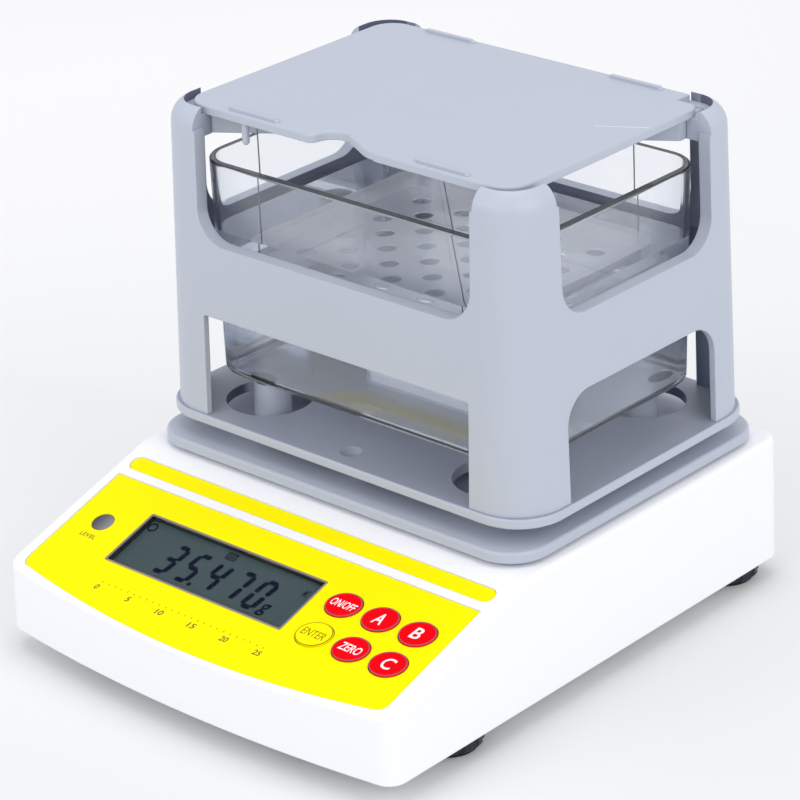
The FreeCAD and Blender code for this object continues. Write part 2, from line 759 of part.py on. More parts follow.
def display_board_corners():
    x = (window_right - window_left) / 2 - 5
    s = -(window_low + window_high) / 2
    half = (window_left + window_right) / 2 - 3.5
    tall = (window_low - window_high) / 2 + 5.5
    return [(x - half, s - tall), (x + half, s - tall), (x - half, s + tall), (x + half, s + tall)]


def panel_outline(sketch, gap):
    """Outline of the yellow sheet on the slope, grown by gap."""
    top = panel_top + gap
    bowed_outline(sketch, -amount(gap), half=panel_half, rear=panel_top,
                  front=panel_front, bow=panel_bow)
    return top


def panel_corner(edge, middle):
    """The two short edges at the front corners of the sheet, or of its recess."""
    if len(edge.Vertexes) != 2 or edge.Length > 3:
        return False
    front = face_y.value - (panel_front - panel_bow).value * math.cos(math.radians(slope.value))
    near_side = abs(abs(middle.x) - panel_half.value) < 0.5
    return near_side and abs(middle.y - front) < 1


def strip_outline(sketch, gap):
    middle = (strip_low + strip_high) / 2
    tall = (strip_high - strip_low) / 2 + gap
    rounded(sketch, panel_half + gap, tall, tall - 0.05, 0, middle)


def window_outline(sketch, gap):
    x = (window_right - window_left) / 2
    s = -(window_low + window_high) / 2
    half = (window_left + window_right) / 2 - gap
    tall = (window_low - window_high) / 2 - gap
    rounded(sketch, half, tall, 0.8, x, s)


def housing_base():
    body = new_body("housing_base")
    plan = sketch_on(body, "base_plan", z=house_floor)
    bowed_outline(plan, wall + fit_gap)
    form = pad(body, "base_plate", plan, base_thick)
    soften(body, "base_corners", form, edges_where(form, base_corner), corner_round - wall)
    raised = sketch_on(body, "foot_bosses", z=house_floor)
    for name, x, y in feet():
        circle(raised, x, y, foot_boss_r)
    pad(body, "foot_bosses_pad", raised, foot_boss_top - house_floor)
    raised = sketch_on(body, "board_studs", z=base_top)
    for x, y in main_board_corners():
        circle(raised, x, y, 3)
    pad(body, "board_studs_pad", raised, 5)
    raised = sketch_on(body, "stop_boss", z=base_top)
    circle(raised, 0, tower_y - cell_long / 2 + 7, 5)
    pad(body, "stop_boss_pad", raised, 7)
    bores = sketch_on(body, "insert_bores", z=foot_boss_top)
    for name, x, y in feet():
        circle(bores, x, y, insert_r)
    cut(body, "insert_bores_cut", bores, foot_boss_top - base_top)
    bores = sketch_on(body, "stud_holes", z=foot_boss_top)
    for name, x, y in feet():
        circle(bores, x, y, stud_r + 0.5)
    cut(body, "stud_holes_cut", bores, foot_boss_top)
    bores = sketch_on(body, "screw_holes", z=base_top + 8)
    for x, y in housing_screws_at():
        circle(bores, x, y, screw_r + 0.3)
    for x, y in cell_screws_at(1):
        circle(bores, x, y, 2 + screw_fit)
    for x, y in main_board_corners():
        circle(bores, x, y, 1 + screw_fit)
    circle(bores, 0, tower_y - cell_long / 2 + 7, 2 + screw_fit)
    cut(body, "screw_holes_cut", bores, base_thick + 11)
    sunk = sketch_on(body, "screw_seats", z=house_floor)
    for x, y in housing_screws_at():
        circle(sunk, x, y, head_r + 0.3)
    for x, y in cell_screws_at(1):
        circle(sunk, x, y, 4)
    cut(body, "screw_seats_cut", sunk, head_high - 0.3, up=True)
    return body


def base_corner(edge, middle):
    a = edge.valueAt(edge.FirstParameter)
    b = edge.valueAt(edge.LastParameter)
    return abs(a.z - b.z) > 1 and math.hypot(a.x - b.x, a.y - b.y) < 0.1


def cell_screws_at(end):
    """Two screws near one end of the load cell: end 1 is fixed, end -1 carries the pan."""
    y = tower_y + end * (cell_long / 2)
    return [(amount(0), y - end * 5), (amount(0), y - end * 14)]


def main_board_corners():
    return board_corners(board_half_x - 4, board_half_y - 4, board_x, board_y)


def fasteners():
    screws = []
    for k, (x, y) in enumerate(housing_screws_at()):
        low = house_floor - 0.3
        screws.append(screw("cover_screw_%d" % k, x, y, low, 11, down=False))
    group("housing_screws", screws)
    screws = []
    for k, (x, y) in enumerate(main_board_corners()):
        screws.append(screw("board_screw_%d" % k, x, y, base_top + 6.6, 5.5, r=1, big=2))
    group("board_screws", screws)
    screws = []
    for k, (x, y) in enumerate(four(post_x, post_y)):
        under = deck_top - wall - lip - head_high
        screws.append(screw("post_screw_%d" % k, x, y, under, 13, down=False, r=2, big=3.6))
    group("post_screws", screws)
    screws = []
    for k, (x, y) in enumerate(cell_screws_at(1)):
        low = house_floor - 0.3
        reach = cell_under - low - head_high + cell_wide / 2
        screws.append(screw("cell_screw_%d" % k, x, y, low, reach, down=False, r=2, big=3.6))
    group("load_cell_screws", screws)
    screws = []
    for k, (x, y) in enumerate(cell_screws_at(-1)):
        low = bridge_under + bridge_thick
        reach = low - cell_under - cell_wide / 2
        screws.append(screw("bridge_screw_%d" % k, x, y, low, reach, r=2, big=3.6))
    group("pan_support_screws", screws)


# ---------------------------------------------------------------- control face
def control_face():
    body = new_body("panel_sheet")
    outline = sketch_on_slope(body, "sheet_outline", -sheet_thick)
    panel_outline(outline, 0)
    window_outline(outline, 0)
    circle(outline, -level_x, -level_s, level_r)
    for name, x, s in keys():
        oval(outline, x, s, key_half_x, key_half_s)
    form = pad(body, "sheet_pad", outline, sheet_thick)
    soften(body, "sheet_corners", form, edges_where(form, panel_corner), panel_round)

    body = new_body("title_strip")
    outline = sketch_on_slope(body, "title_outline", -sheet_thick)
    strip_outline(outline, 0)
    pad(body, "title_pad", outline, sheet_thick)

    body = new_body("display_window")
    outline = sketch_on_slope(body, "display_outline", -wall)
    window_outline(outline, fit_gap)
    pad(body, "display_pad", outline, wall - 0.2)

    x = (window_right - window_left) / 2
    s = -(window_low + window_high) / 2
    half = (window_left + window_right) / 2
    tall = (window_low - window_high) / 2
    body = new_body("display_glass")
    outline = sketch_on_slope(body, "glass_outline", -wall - 2.8)
    rounded(outline, half + 1.2, tall + 1.2, 0.5, x, s)
    pad(body, "glass_pad", outline, 2.8)
    body = new_body("display_holder")
    outline = sketch_on_slope(body, "holder_outline", -KEY_BOARD_DEPTH)
    rounded(outline, half + 2.6, tall + 2.6, 1, x, s)
    rounded(outline, half + 1.4, tall + 1.4, 0.5, x, s)
    pad(body, "holder_pad", outline, KEY_BOARD_DEPTH - wall - lip - 0.1)
    outline = sketch_on_slope(body, "holder_floor", -KEY_BOARD_DEPTH)
    rounded(outline, half + 2.6, tall + 2.6, 1, x, s)
    pad(body, "holder_floor_pad", outline, KEY_BOARD_DEPTH - wall - 2.9)

    body = new_body("display_board")
    outline = sketch_on_slope(body, "display_board_outline", -KEY_BOARD_DEPTH - 1.6)
    rounded(outline, half, tall + 9, 1, x - 5, s)
    for cx, cs in display_board_corners():
        circle(outline, cx, cs, 1 + screw_fit)
    pad(body, "display_board_pad", outline, 1.6)

    body = new_body("key_board")
    outline = sketch_on_slope(body, "key_board_outline", -KEY_BOARD_DEPTH - 1.6)
    kx = key_x + key_pitch_x
    ks = -(key_s + key_pitch_s / 2)
    rounded(outline, key_pitch_x + 9.5, key_pitch_s / 2 + 11, 1, kx, ks)
    for cx, cs in key_board_corners():
        circle(outline, cx, cs, 1 + screw_fit)
    pad(body, "key_board_pad", outline, 1.6)

    body = new_body("key_switches")
    outline = sketch_on_slope(body, "switch_outline", -KEY_BOARD_DEPTH)
    for name, kx, ks in keys():
        polygon(outline, [(kx - 3, ks - 3), (kx + 3, ks - 3), (kx + 3, ks + 3), (kx - 3, ks + 3)])
    pad(body, "switch_pad", outline, 3.5)
    outline = sketch_on_slope(body, "switch_bores", -KEY_BOARD_DEPTH + 3.5)
    for name, kx, ks in keys():
        circle(outline, kx, ks, 1.5 + move_gap)
    cut(body, "switch_bores_cut", outline, 2)

    body = new_body("face_screws")
    outline = sketch_on_slope(body, "face_screw_heads", -KEY_BOARD_DEPTH - 1.6)
    for cx, cs in key_board_corners() + display_board_corners():
        circle(outline, cx, cs, 2)
    pad(body, "face_screw_heads_pad", outline, 1.4, down=True)
    outline = sketch_on_slope(body, "face_screw_shanks", -KEY_BOARD_DEPTH - 1.6)
    for cx, cs in key_board_corners() + display_board_corners():
        circle(outline, cx, cs, 1)
    pad(body, "face_screw_shanks_pad", outline, 6)

    body = new_body("bubble_level")
    outline = sketch_on_slope(body, "level_outline", -7)
    circle(outline, -level_x, -level_s, level_r - fit_gap)
    pad(body, "level_pad", outline, 7 - 0.1)
    outline = sketch_on_slope(body, "level_flange", -7)
    circle(outline, -level_x, -level_s, level_r + 1.5)
    pad(body, "level_flange_pad", outline, 7 - wall)


def key_cap(name, x, s):
    """One oval key with its retaining flange and the plunger that enters its switch."""
    body = new_body(name)
    outline = sketch_on_slope(body, name + "_cap", -wall - 0.2)
    oval(outline, x, s, key_half_x - move_gap, key_half_s - move_gap)
    form = pad(body, name + "_cap_pad", outline, wall + 0.2 + key_rise)

    def brow(edge, middle):
        lift = (middle.y - face_y.value) * -math.sin(math.radians(slope.value))
        lift = lift + (middle.z - face_z.value) * math.cos(math.radians(slope.value))
        return abs(lift - key_rise.value) < 0.01
    soften(body, name + "_brow", form, edges_where(form, brow), 0.3, "Chamfer")
    outline = sketch_on_slope(body, name + "_flange", -wall - 1.2)
    oval(outline, x, s, key_half_x + 0.7, key_half_s + 0.7)
    pad(body, name + "_flange_pad", outline, 1)
    outline = sketch_on_slope(body, name + "_plunger", -KEY_BOARD_DEPTH + 1.5 + key_travel + 0.2)
    circle(outline, x, s, 1.5)
    pad(body, name + "_plunger_pad", outline, KEY_BOARD_DEPTH - wall - 3)


# ---------------------------------------------------------------- weighing works
def load_cell():
    body = new_body("load_cell")
    outline = sketch_on(body, "cell_side", "YZ_Plane", x=tower_y, z=0)
    high = cell_under + cell_wide / 2
    rounded(outline, cell_long / 2, cell_wide / 2, 0.6, 0, high)
    bar = pad(body, "cell_bar", outline, cell_wide)
    bar.SideType = "Symmetric"
    outline = sketch_on(body, "cell_eye", "YZ_Plane", x=tower_y, z=0)
    circle(outline, -7, high, 4.6)
    circle(outline, 7, high, 4.6)
    cut_through(body, "cell_eye_cut", outline)
    outline = sketch_on(body, "cell_slot", "YZ_Plane", x=tower_y, z=0)
    polygon(outline, [(-7, high - 1), (7, high - 1), (7, high + 1), (-7, high + 1)])
    cut_through(body, "cell_slot_cut", outline)
    drilled = sketch_on(body, "cell_taps", z=cell_under)
    for x, y in cell_screws_at(1) + cell_screws_at(-1):
        circle(drilled, x, y, 2 + screw_fit)
    cut_through(body, "cell_taps_cut", drilled)

    y = tower_y + cell_long / 2 - 9.5
    foot = block("cell_foot", 0, y, base_top, 10, 9.5, cell_under - base_top)
    holes = []
    for k, (hx, hy) in enumerate(cell_screws_at(1)):
        holes.append(rod("cell_foot_hole_%d" % k, hx, hy, house_floor, 2 + screw_fit, 30))
    made.append(less("load_cell_block", foot, holes))

    y = tower_y - cell_long / 2 + 7
    shank = rod("stop_shank", 0, y, base_top - 2, 2, cell_under - overload_gap - base_top + 2)
    nut = rod("stop_nut", 0, y, base_top + 7, 3.6, 2.4)
    made.append(joined("overload_stop", [shank, nut]))


def pan_support():
    body = new_body("pan_support")
    spine = sketch_on(body, "spine", y=tower_y, z=bridge_under)
    rounded(spine, seat_x + 8, seat_y + 8, 6)
    rounded(spine, seat_x - 10, seat_y - 24, 4)
    form = pad(body, "spine_pad", spine, bridge_thick)
    arm = sketch_on(body, "landing", z=bridge_under)
    near = cell_long / 2 - 9.5
    rounded(arm, 10, 9.5, 2, 0, tower_y - near)
    pad(body, "landing_pad", arm, bridge_thick)
    spacer = sketch_on(body, "spacer", z=cell_under + cell_wide)
    rounded(spacer, cell_wide / 2, 9.5, 1, 0, tower_y - near)
    pad(body, "spacer_pad", spacer, bridge_under - cell_under - cell_wide)
    columns = sketch_on(body, "columns", z=bridge_under)
    for x, y in four(seat_x, seat_y):
        circle(columns, x, y, column_r)
    pad(body, "columns_pad", columns, pan_under - bridge_under)
    pins = sketch_on(body, "pins", z=bridge_under)
    for x, y in four(seat_x, seat_y):
        circle(pins, x, y, pin_r)
    pad(body, "pins_pad", pins, pan_under - bridge_under + 1.7)
    drilled = sketch_on(body, "bridge_holes", z=bridge_under + bridge_thick + 1)
    for x, y in cell_screws_at(-1):
        circle(drilled, x, y, 2 + screw_fit)
    cut(body, "bridge_holes_cut", drilled, 30)
    return form


def weighing_pan():
    body = new_body("weighing_pan")
    outline = sketch_on(body, "pan_outline", y=tower_y, z=pan_under)
    rounded(outline, pan_half_x, pan_half_y, pan_round)
    form = pad(body, "pan_plate", outline, pan_thick)
    rim = edges_where(form, lambda e, m: abs(m.z - pan_top.value) < 0.01)
    form = soften(body, "pan_rim", form, rim, 1.2)
    low = edges_where(form, lambda e, m: abs(m.z - pan_under.value) < 0.01)
    soften(body, "pan_low_edge", form, low, 0.6)
    holes = sketch_on(body, "pan_holes", z=pan_top)
    for x, y in four(post_x, post_y):
        circle(holes, x, y, post_r + post_gap)
    for x, y in four(seat_x, seat_y):
        circle(holes, x, y, pin_r + 0.1)
    cut(body, "pan_holes_cut", holes, pan_thick + 1)


def tower_base():
    body = new_body("tower_base")
    outline = sketch_on(body, "foot_plate_outline", y=tower_y, z=foot_plate_under)
    rounded(outline, foot_plate_x, foot_plate_y, tower_round)
    form = pad(body, "foot_plate", outline, foot_plate_thick)
    rim = edges_where(form, lambda e, m: True)
    soften(body, "foot_plate_rim", form, rim, 0.8)
    seats = sketch_on(body, "seats", z=foot_plate_under + 1)
    for x, y in four(seat_x, seat_y):
        circle(seats, x, y, 5)
    pad(body, "seats_pad", seats, foot_plate_gap + 1, down=True)
    pins = sketch_on(body, "seat_pins", z=foot_plate_under)
    for x, y in four(seat_x, seat_y):
        circle(pins, x, y, pin_r)
    pad(body, "seat_pins_pad", pins, foot_plate_gap + 2.2, down=True)
    holes = sketch_on(body, "big_holes", z=foot_plate_top)
    for x, y in four(post_x + 2.5, post_y - 1):
        circle(holes, x, y, big_hole_r)
    circle(holes, 0, tower_y - foot_plate_y + small_hole_in, 4.1)
    circle(holes, 0, tower_y + foot_plate_y - small_hole_in, 4.1)
    for x, y in tower_screws_at():
        circle(holes, x, y, screw_r + screw_fit)
    cut(body, "big_holes_cut", holes, foot_plate_thick + 1)
    sunk = sketch_on(body, "tower_screw_seats", z=foot_plate_under)
    for x, y in tower_screws_at():
        circle(sunk, x, y, head_r + 0.2)
    cut(body, "tower_screw_seats_cut", sunk, head_high, up=True)


def tower_screws_at():
    return four(tower_half_x - tower_round + 10, tower_half_y - tower_round + 10)


def tower_corner(height):
    """Radius of the tower's corners at one height."""
    return tower_round - tower_lean * (height - foot_plate_top)


def tower_ring(body, name, height, wall_here):
    """The tower's outline at one height, inset by a wall."""
    lean = tower_lean * (height - foot_plate_top)
    ring = sketch_on(body, name, y=tower_y, z=height)
    rounded(ring, tower_half_x - lean - wall_here, tower_half_y - lean - wall_here,
            tower_corner(height) - wall_here)
    return ring


def tower_frame():
    """Four hollow corner pillars and the rails between them, leaning in as they rise."""
    body = new_body("tower_frame")
    low = tower_ring(body, "shell_low", foot_plate_top, amount(0))
    neck = tower_top - cap_round - 0.2
    high = tower_ring(body, "shell_high", neck, amount(0))
    loft(body, "shell", "AdditiveLoft", low, high)
    crown = tower_ring(body, "crown_plan", neck, amount(0))
    form = pad(body, "crown", crown, cap_round + 0.2)
    brow = edges_where(form, lambda e, m: abs(m.z - tower_top.value) < 0.01)
    soften(body, "shell_cap", form, brow, cap_round)
    split = sill_height - 3
    low = tower_ring(body, "room_low", foot_plate_top, tower_wall)
    high = tower_ring(body, "room_high", split, tower_wall)
    loft(body, "room", "SubtractiveLoft", low, high)
    low = tower_ring(body, "frame_low", split, frame_wall)
    high = tower_ring(body, "frame_high", tower_top + 1, frame_wall)
    loft(body, "frame", "SubtractiveLoft", low, high)

    bosses = sketch_on(body, "tower_bosses", z=foot_plate_top)
    for x, y in tower_screws_at():
        circle(bosses, x, y, 4)
    pad(body, "tower_bosses_pad", bosses, 16)
    shelves = sketch_on(body, "shelves", y=tower_y, z=plate_under - shelf_thick)
    for sx, sy in ((1, 1), (-1, 1), (-1, -1), (1, -1)):
        corners = []
        for x, y in shelf_corners():
            corners.append((x * sx, y * sy))
        polygon(shelves, corners)
    pad(body, "shelves_pad", shelves, shelf_thick)
    pilots = sketch_on(body, "tower_pilots", z=foot_plate_top)
    for x, y in tower_screws_at():
        circle(pilots, x, y, screw_r + screw_fit)
    cut(body, "tower_pilots_cut", pilots, 12, up=True)

    middle = (foot_plate_top + rail_under) / 2 - 10
    tall = (rail_under - foot_plate_top) / 2 + 10
    windows = sketch_on(body, "low_front", "XZ_Plane", z=0)
    rounded(windows, open_x - 1, tall, 1, 0, middle)
    cut_through(body, "low_front_cut", windows)
    windows = sketch_on(body, "low_side", "YZ_Plane", x=tower_y, z=0)
    rounded(windows, open_y, tall, 12, 0, middle)
    cut_through(body, "low_side_cut", windows)
    tall = (tower_top - sill_height) / 2 + 10
    middle = sill_height + tall
    windows = sketch_on(body, "high_front", "XZ_Plane", z=0)
    rounded(windows, open_x, tall, 12.5, 0, middle)
    cut_through(body, "high_front_cut", windows)
    windows = sketch_on(body, "high_side", "YZ_Plane", x=tower_y, z=0)
    rounded(windows, open_y, tall, 12, 0, middle)
    cut_through(body, "high_side_cut", windows)
    low = foot_plate_top + step_rise
    for name, plane, half in (("steps_front", "XZ_Plane", open_x), ("steps_side", "YZ_Plane", open_y)):
        middle = amount(0) if plane == "XZ_Plane" else tower_y
        steps = sketch_on(body, name, plane, x=middle, z=0)
        far = half + step_wide
        polygon(steps, [(-far, low), (far, low), (far, tower_top + 5), (-far, tower_top + 5)])
        cut_through(body, name + "_cut", steps)


def shelf_corners():
    """One L-shaped shelf, buried in the pillar wall on its outside."""
    lean = tower_lean * (plate_under - foot_plate_top)
    far_x = tower_half_x - lean - 1.5
    far_y = tower_half_y - lean - 1.5
    near_x = plate_half_x - 2
    near_y = plate_half_y - 2.5
    corner = tower_corner(plate_under)
    turn = corner * 0.29
    return [
        (open_x + step_wide, near_y),
        (near_x, near_y),
        (near_x, open_y + step_wide),
        (far_x, open_y + step_wide),
        (far_x, far_y - corner + 2),
        (far_x - turn, far_y - turn),
        (far_x - corner + 2, far_y),
        (open_x + step_wide, far_y),
    ]


def tower_screws():
    screws = []
    for k, (x, y) in enumerate(tower_screws_at()):
        screws.append(screw("tower_screw_%d" % k, x, y, foot_plate_under, 11, down=False))
    group("tower_screws", screws)


# ---------------------------------------------------------------- top plate and tray
def arm_corners(turn, wide, inset):
    """A bar of half width across the tower axis, its ends squared into the shelves' corners."""
    end_x = plate_half_x - 2.3 - inset
    end_y = plate_half_y - 3 - inset
    side_y = end_x * tangent(turn) - wide / cosine(turn)
    side_x = (end_y - wide / cosine(turn)) / tangent(turn)
    return [
        (end_x, side_y),
        (end_x, end_y),
        (side_x, end_y),
        (-end_x, -side_y),
        (-end_x, -end_y),
        (-side_x, -end_y),
    ]


def top_plate():
    body = new_body("top_plate")
    outline = sketch_on(body, "plate_outline", y=tower_y, z=plate_under)
    rounded(outline, plate_half_x, plate_half_y, plate_round)
    form = pad(body, "plate_slab", outline, plate_thick)
    notch = sketch_on(body, "notch", y=tower_y - plate_half_y, z=plate_under + plate_thick)
    rounded(notch, notch_wide / 2, notch_deep, 7)
    form = cut(body, "notch_cut", notch, plate_thick + 1)
    mouth = edges_where(form, lambda e, m: abs(abs(m.x) - notch_wide.value / 2) < 0.05
                        and abs(m.y - tower_y.value + plate_half_y.value) < 0.05
                        and abs(m.z - plate_under.value - plate_thick.value / 2) < 0.1)
    form = soften(body, "notch_mouth", form, mouth, 3)
    notch = sketch_on(body, "corner_step", y=tower_y, z=plate_under + plate_thick)
    x = plate_half_x - plate_round - corner_cut_x
    y = plate_half_y - corner_cut_y
    polygon(notch, [(x, y), (x + 20, y), (x + 20, y + 20), (x, y + 20)])
    form = cut(body, "corner_step_cut", notch, plate_thick + 1)
    tip = edges_where(form, lambda e, m: abs(m.x - plate_half_x.value) < 0.6
                      and abs(m.y - tower_y.value - y.value) < 0.05
                      and abs(m.z - plate_under.value - plate_thick.value / 2) < 0.1)
    form = soften(body, "corner_step_tip", form, tip, 5)
    rim = edges_where(form, lambda e, m: abs(m.z - plate_under.value - plate_thick.value) < 0.01)
    soften(body, "plate_rim", form, rim, 0.9)
    turn = arctangent((plate_half_y - arm_in_y) / (plate_half_x - arm_in_x))
    for side, name in ((1, "arm_one"), (-1, "arm_two")):
        arm = sketch_on(body, name, y=tower_y, z=plate_under - arm_deep)
        polygon(arm, [(x * side, y) for x, y in arm_corners(turn, arm_wide / 2, 0)])
        pad(body, name + "_pad", arm, arm_deep)
    for side, name in ((1, "gap_one"), (-1, "gap_two")):
        gap = sketch_on(body, name, y=tower_y, z=plate_under - arm_deep)
        inner = arm_corners(turn, arm_wide / 2 - 2, 2)
        polygon(gap, [(x * side, y) for x, y in inner])
        cut(body, name + "_cut", gap, arm_deep, up=True)
    ribs = sketch_on(body, "ribs", y=tower_y, z=plate_under + 1)
    for sx, sy in ((1, 1), (-1, 1), (-1, -1), (1, -1)):
        x = (plate_half_x - rib_in) * sx
        y = (plate_half_y - 2.6) * sy
        rounded(ribs, 11.5, 1, 0.9, x, y)
    pad(body, "ribs_pad", ribs, plate_thick)


def hanger():
    pegs = []
    places = four(peg_x, plate_half_y - peg_r - 0.1)
    for k in (0, 3):
        x, y = places[k]
        low = plate_under - arm_deep
        tip = rod("peg_tip_%d" % k, x, y, low, peg_r * 0.5, 0.8, peg_r)
        stem = rod("peg_stem_%d" % k, x, y, low + 0.8, peg_r, arm_deep - 0.8)
        pegs.append(joined("peg_%d" % k, [tip, stem]))
    group("hanger_pegs", pegs)
    wires = []
    top = four(wire_top_x, wire_top_y)
    low = four(wire_low_x, wire_low_y)
    for k in range(4):
        rings = []
        for name, (x, y), z in (("low", low[k], tray_under + tray_high), ("top", top[k], plate_under)):
            ring = doc.addObject("Part::Circle", "wire_%d_%s" % (k, name))
            bind(ring, "Radius", wire_r)
            bind(ring, "Placement.Base.x", x)
            bind(ring, "Placement.Base.y", y)
            bind(ring, "Placement.Base.z", z)
            rings.append(ring)
        strand = doc.addObject("Part::Loft", "wire_%d" % k)
        strand.Sections = rings
        strand.Solid = True
        wires.append(strand)
    group("hanger_wires", wires)


def tray():
    body = new_body("hanging_tray")
    outline = sketch_on(body, "tray_outline", y=tower_y, z=tray_under)
    rounded(outline, tray_half_x, tray_half_y, 8)
    form = pad(body, "tray_block", outline, tray_high)
    low = edges_where(form, lambda e, m: abs(m.z - tray_under.value) < 0.01)
    soften(body, "tray_low_edge", form, low, 1.5)
    outline = sketch_on(body, "tray_rim", y=tower_y, z=tray_under + tray_high - tray_wall)
    rounded(outline, tray_half_x + tray_flange, tray_half_y + tray_flange, 10)
    pad(body, "tray_rim_pad", outline, tray_wall)
    outline = sketch_on(body, "tray_inside", y=tower_y, z=tray_under + tray_high)
    rounded(outline, tray_half_x - tray_wall, tray_half_y - tray_wall, 6.4)
    cut(body, "tray_inside_cut", outline, tray_high - tray_wall)
    holes = sketch_on(body, "tray_holes", y=tower_y, z=tray_under + tray_wall)
    for i in range(5):
        for j in range(4):
            circle(holes, tray_pitch * (i - 2), tray_pitch * (j - 1.5), tray_hole_r)
    for i in range(4):
        for j in range(3):
            circle(holes, tray_pitch * (i - 1.5), tray_pitch * (j - 1), tray_hole_r)
    cut(body, "tray_holes_cut", holes, tray_wall + 1)


# ---------------------------------------------------------------- tank
def tank_ring(body, name, height, inset, corner):
    part = (rim_height - height) / (rim_height - tank_under)
    ring = sketch_on(body, name, y=tower_y, z=height)
    rounded(ring, rim_x - tank_taper * part - inset, rim_y - tank_taper * part - inset, corner)
    return ring


def water_tank():
    body = new_body("water_tank")
    low = tank_ring(body, "tank_low", tank_under, amount(0), tank_round)
    tall = rim_height - tank_under
    form = pad(body, "tank_form", low, tall, draft=arctangent(tank_taper / tall))
    under = edges_where(form, lambda e, m: abs(m.z - tank_under.value) < 0.01)
    form = soften(body, "tank_low_edge", form, under, 3.5)
    mouth = edges_where(form, lambda e, m: abs(m.z - rim_height.value) < 0.01)
    soften(body, "tank_lip", form, mouth, 0.8)
    low = tank_ring(body, "tank_floor", tank_under + tank_wall, tank_wall, tank_round - tank_wall)
    high = tank_ring(body, "tank_mouth", rim_height + 5, tank_wall, tank_round - tank_wall)
    loft(body, "tank_room", "SubtractiveLoft", low, high)


def tank_posts():
    posts = []
    pads = []
    top = tank_under - pad_thick
    for k, (x, y) in enumerate(four(post_x, post_y)):
        post = rod("post_form_%d" % k, x, y, deck_top, post_r, top - deck_top, post_tip_r)
        hole = rod("post_hole_%d" % k, x, y, deck_top - 1, 2 + screw_fit, 12)
        posts.append(less("post_%d" % k, post, [hole]))
        pads.append(rod("post_pad_%d" % k, x, y, top, post_tip_r - 0.6, pad_thick))
    group("tank_posts", posts)
    group("tank_pads", pads)


# ---------------------------------------------------------------- boards and inlet
def boards():
    x = board_x
    y = board_y
    plate = block("main_board_plate", x, y, base_top + 5, board_half_x, board_half_y, 1.6)
    holes = []
    for k, (hx, hy) in enumerate(main_board_corners()):
        holes.append(rod("main_board_hole_%d" % k, hx, hy, base_top, 1 + screw_fit, 10))
    made.append(less("main_board", plate, holes))
    top = base_top + 6.6
    chips = [
        block("chip_main", x - 8, y + 2, top, 7, 7, 1.4),
        block("chip_small", x + 16, y - 6, top, 4, 3, 1.4),
        block("plug_cell", x + 34, y + 14, top, 5, 3, 6),
        block("plug_face", x - 20, y - 18, top, 10, 3, 6),
        rod("capacitor", x + 22, y + 12, top, 4, 8),
    ]
    group("board_parts", chips)

    back = house_depth / 2
    body = new_body("power_inlet")
    outline = sketch_on(body, "inlet_box", "XZ_Plane", z=-back + wall + 2.2)
    rounded(outline, 7, 5.5, 0.8, inlet_x, inlet_z)
    pad(body, "inlet_box_pad", outline, 12)
    outline = sketch_on(body, "inlet_collar", "XZ_Plane", z=-back + 1.2)
    circle(outline, inlet_x, inlet_z, 5.4)
    pad(body, "inlet_collar_pad", outline, 4)
    outline = sketch_on(body, "inlet_bore", "XZ_Plane", z=-back)
    circle(outline, inlet_x, inlet_z, 3.2)
    cut(body, "inlet_bore_cut", outline, 10.5, up=True)
    outline = sketch_on(body, "inlet_pin", "XZ_Plane", z=-back + 2.5)
    circle(outline, inlet_x, inlet_z, 1)
    pad(body, "inlet_pin_pad", outline, 9)


# ---------------------------------------------------------------- feet
def foot(name, x, y):
    """A rubber pad, a scalloped knob that turns on it, and the stud that rises with them."""
    disc = rod("pad_disc_" + name, x, y, 0, pad_r, pad_high)
    pivot = rod("pad_pivot_" + name, x, y, pad_high, 2.5, 3.4)
    made.append(joined("foot_pad_" + name, [disc, pivot]))

    body = new_body("foot_knob_" + name)
    outline = sketch_on(body, "knob_plan_" + name, x=x, y=y, z=knob_under)
    circle(outline, 0, 0, knob_r)
    form = pad(body, "knob_disc_" + name, outline, knob_top - knob_under)
    brim = edges_where(form, lambda e, m: len(e.Vertexes) == 1)
    soften(body, "knob_brim_" + name, form, brim, 0.7, "Chamfer")
    outline = sketch_on(body, "knob_flutes_" + name, x=x, y=y, z=knob_under - 1)
    count = 12
    for k in range(count):
        turn = amount(360.0 * k / count)
        away = knob_r + knob_flute_r * 0.55
        circle(outline, away * math.cos(math.radians(turn.value)),
               away * math.sin(math.radians(turn.value)), knob_flute_r)
    cut(body, "knob_flutes_cut_" + name, outline, knob_top - knob_under + 2, up=True)
    outline = sketch_on(body, "knob_socket_" + name, x=x, y=y, z=knob_under)
    circle(outline, 0, 0, 2.5 + stud_gap)
    cut(body, "knob_socket_cut_" + name, outline, pad_high + 3.4 - knob_under + 0.2, up=True)
    outline = sketch_on(body, "knob_bore_" + name, x=x, y=y, z=knob_top)
    circle(outline, 0, 0, stud_r)
    cut(body, "knob_bore_cut_" + name, outline, 2)

    shank = rod("stud_" + name, x, y, knob_top - 2, stud_r, foot_boss_top - knob_top + 1)
    shank.Label = "foot_stud_" + name
    made.append(shank)


def inserts():
    rings = []
    for name, x, y in feet():
        ring = rod("insert_form_" + name, x, y, base_top, insert_r, foot_boss_top - base_top)
        bore = rod("insert_bore_" + name, x, y, house_floor, stud_r + stud_gap, 30)
        rings.append(less("insert_" + name, ring, [bore]))
    group("foot_inserts", rings)


# ---------------------------------------------------------------- build and export
def build_all():
    housing_cover()
    housing_base()
    fasteners()
    control_face()
    for name, x, s in keys():
        key_cap(name, x, s)
    load_cell()
    pan_support()
    weighing_pan()
    tower_base()
    tower_frame()
    tower_screws()
    top_plate()
    hanger()
    tray()
    water_tank()
    tank_posts()
    boards()
    for name, x, y in feet():
        foot(name, x, y)
    inserts()
    doc.recompute()


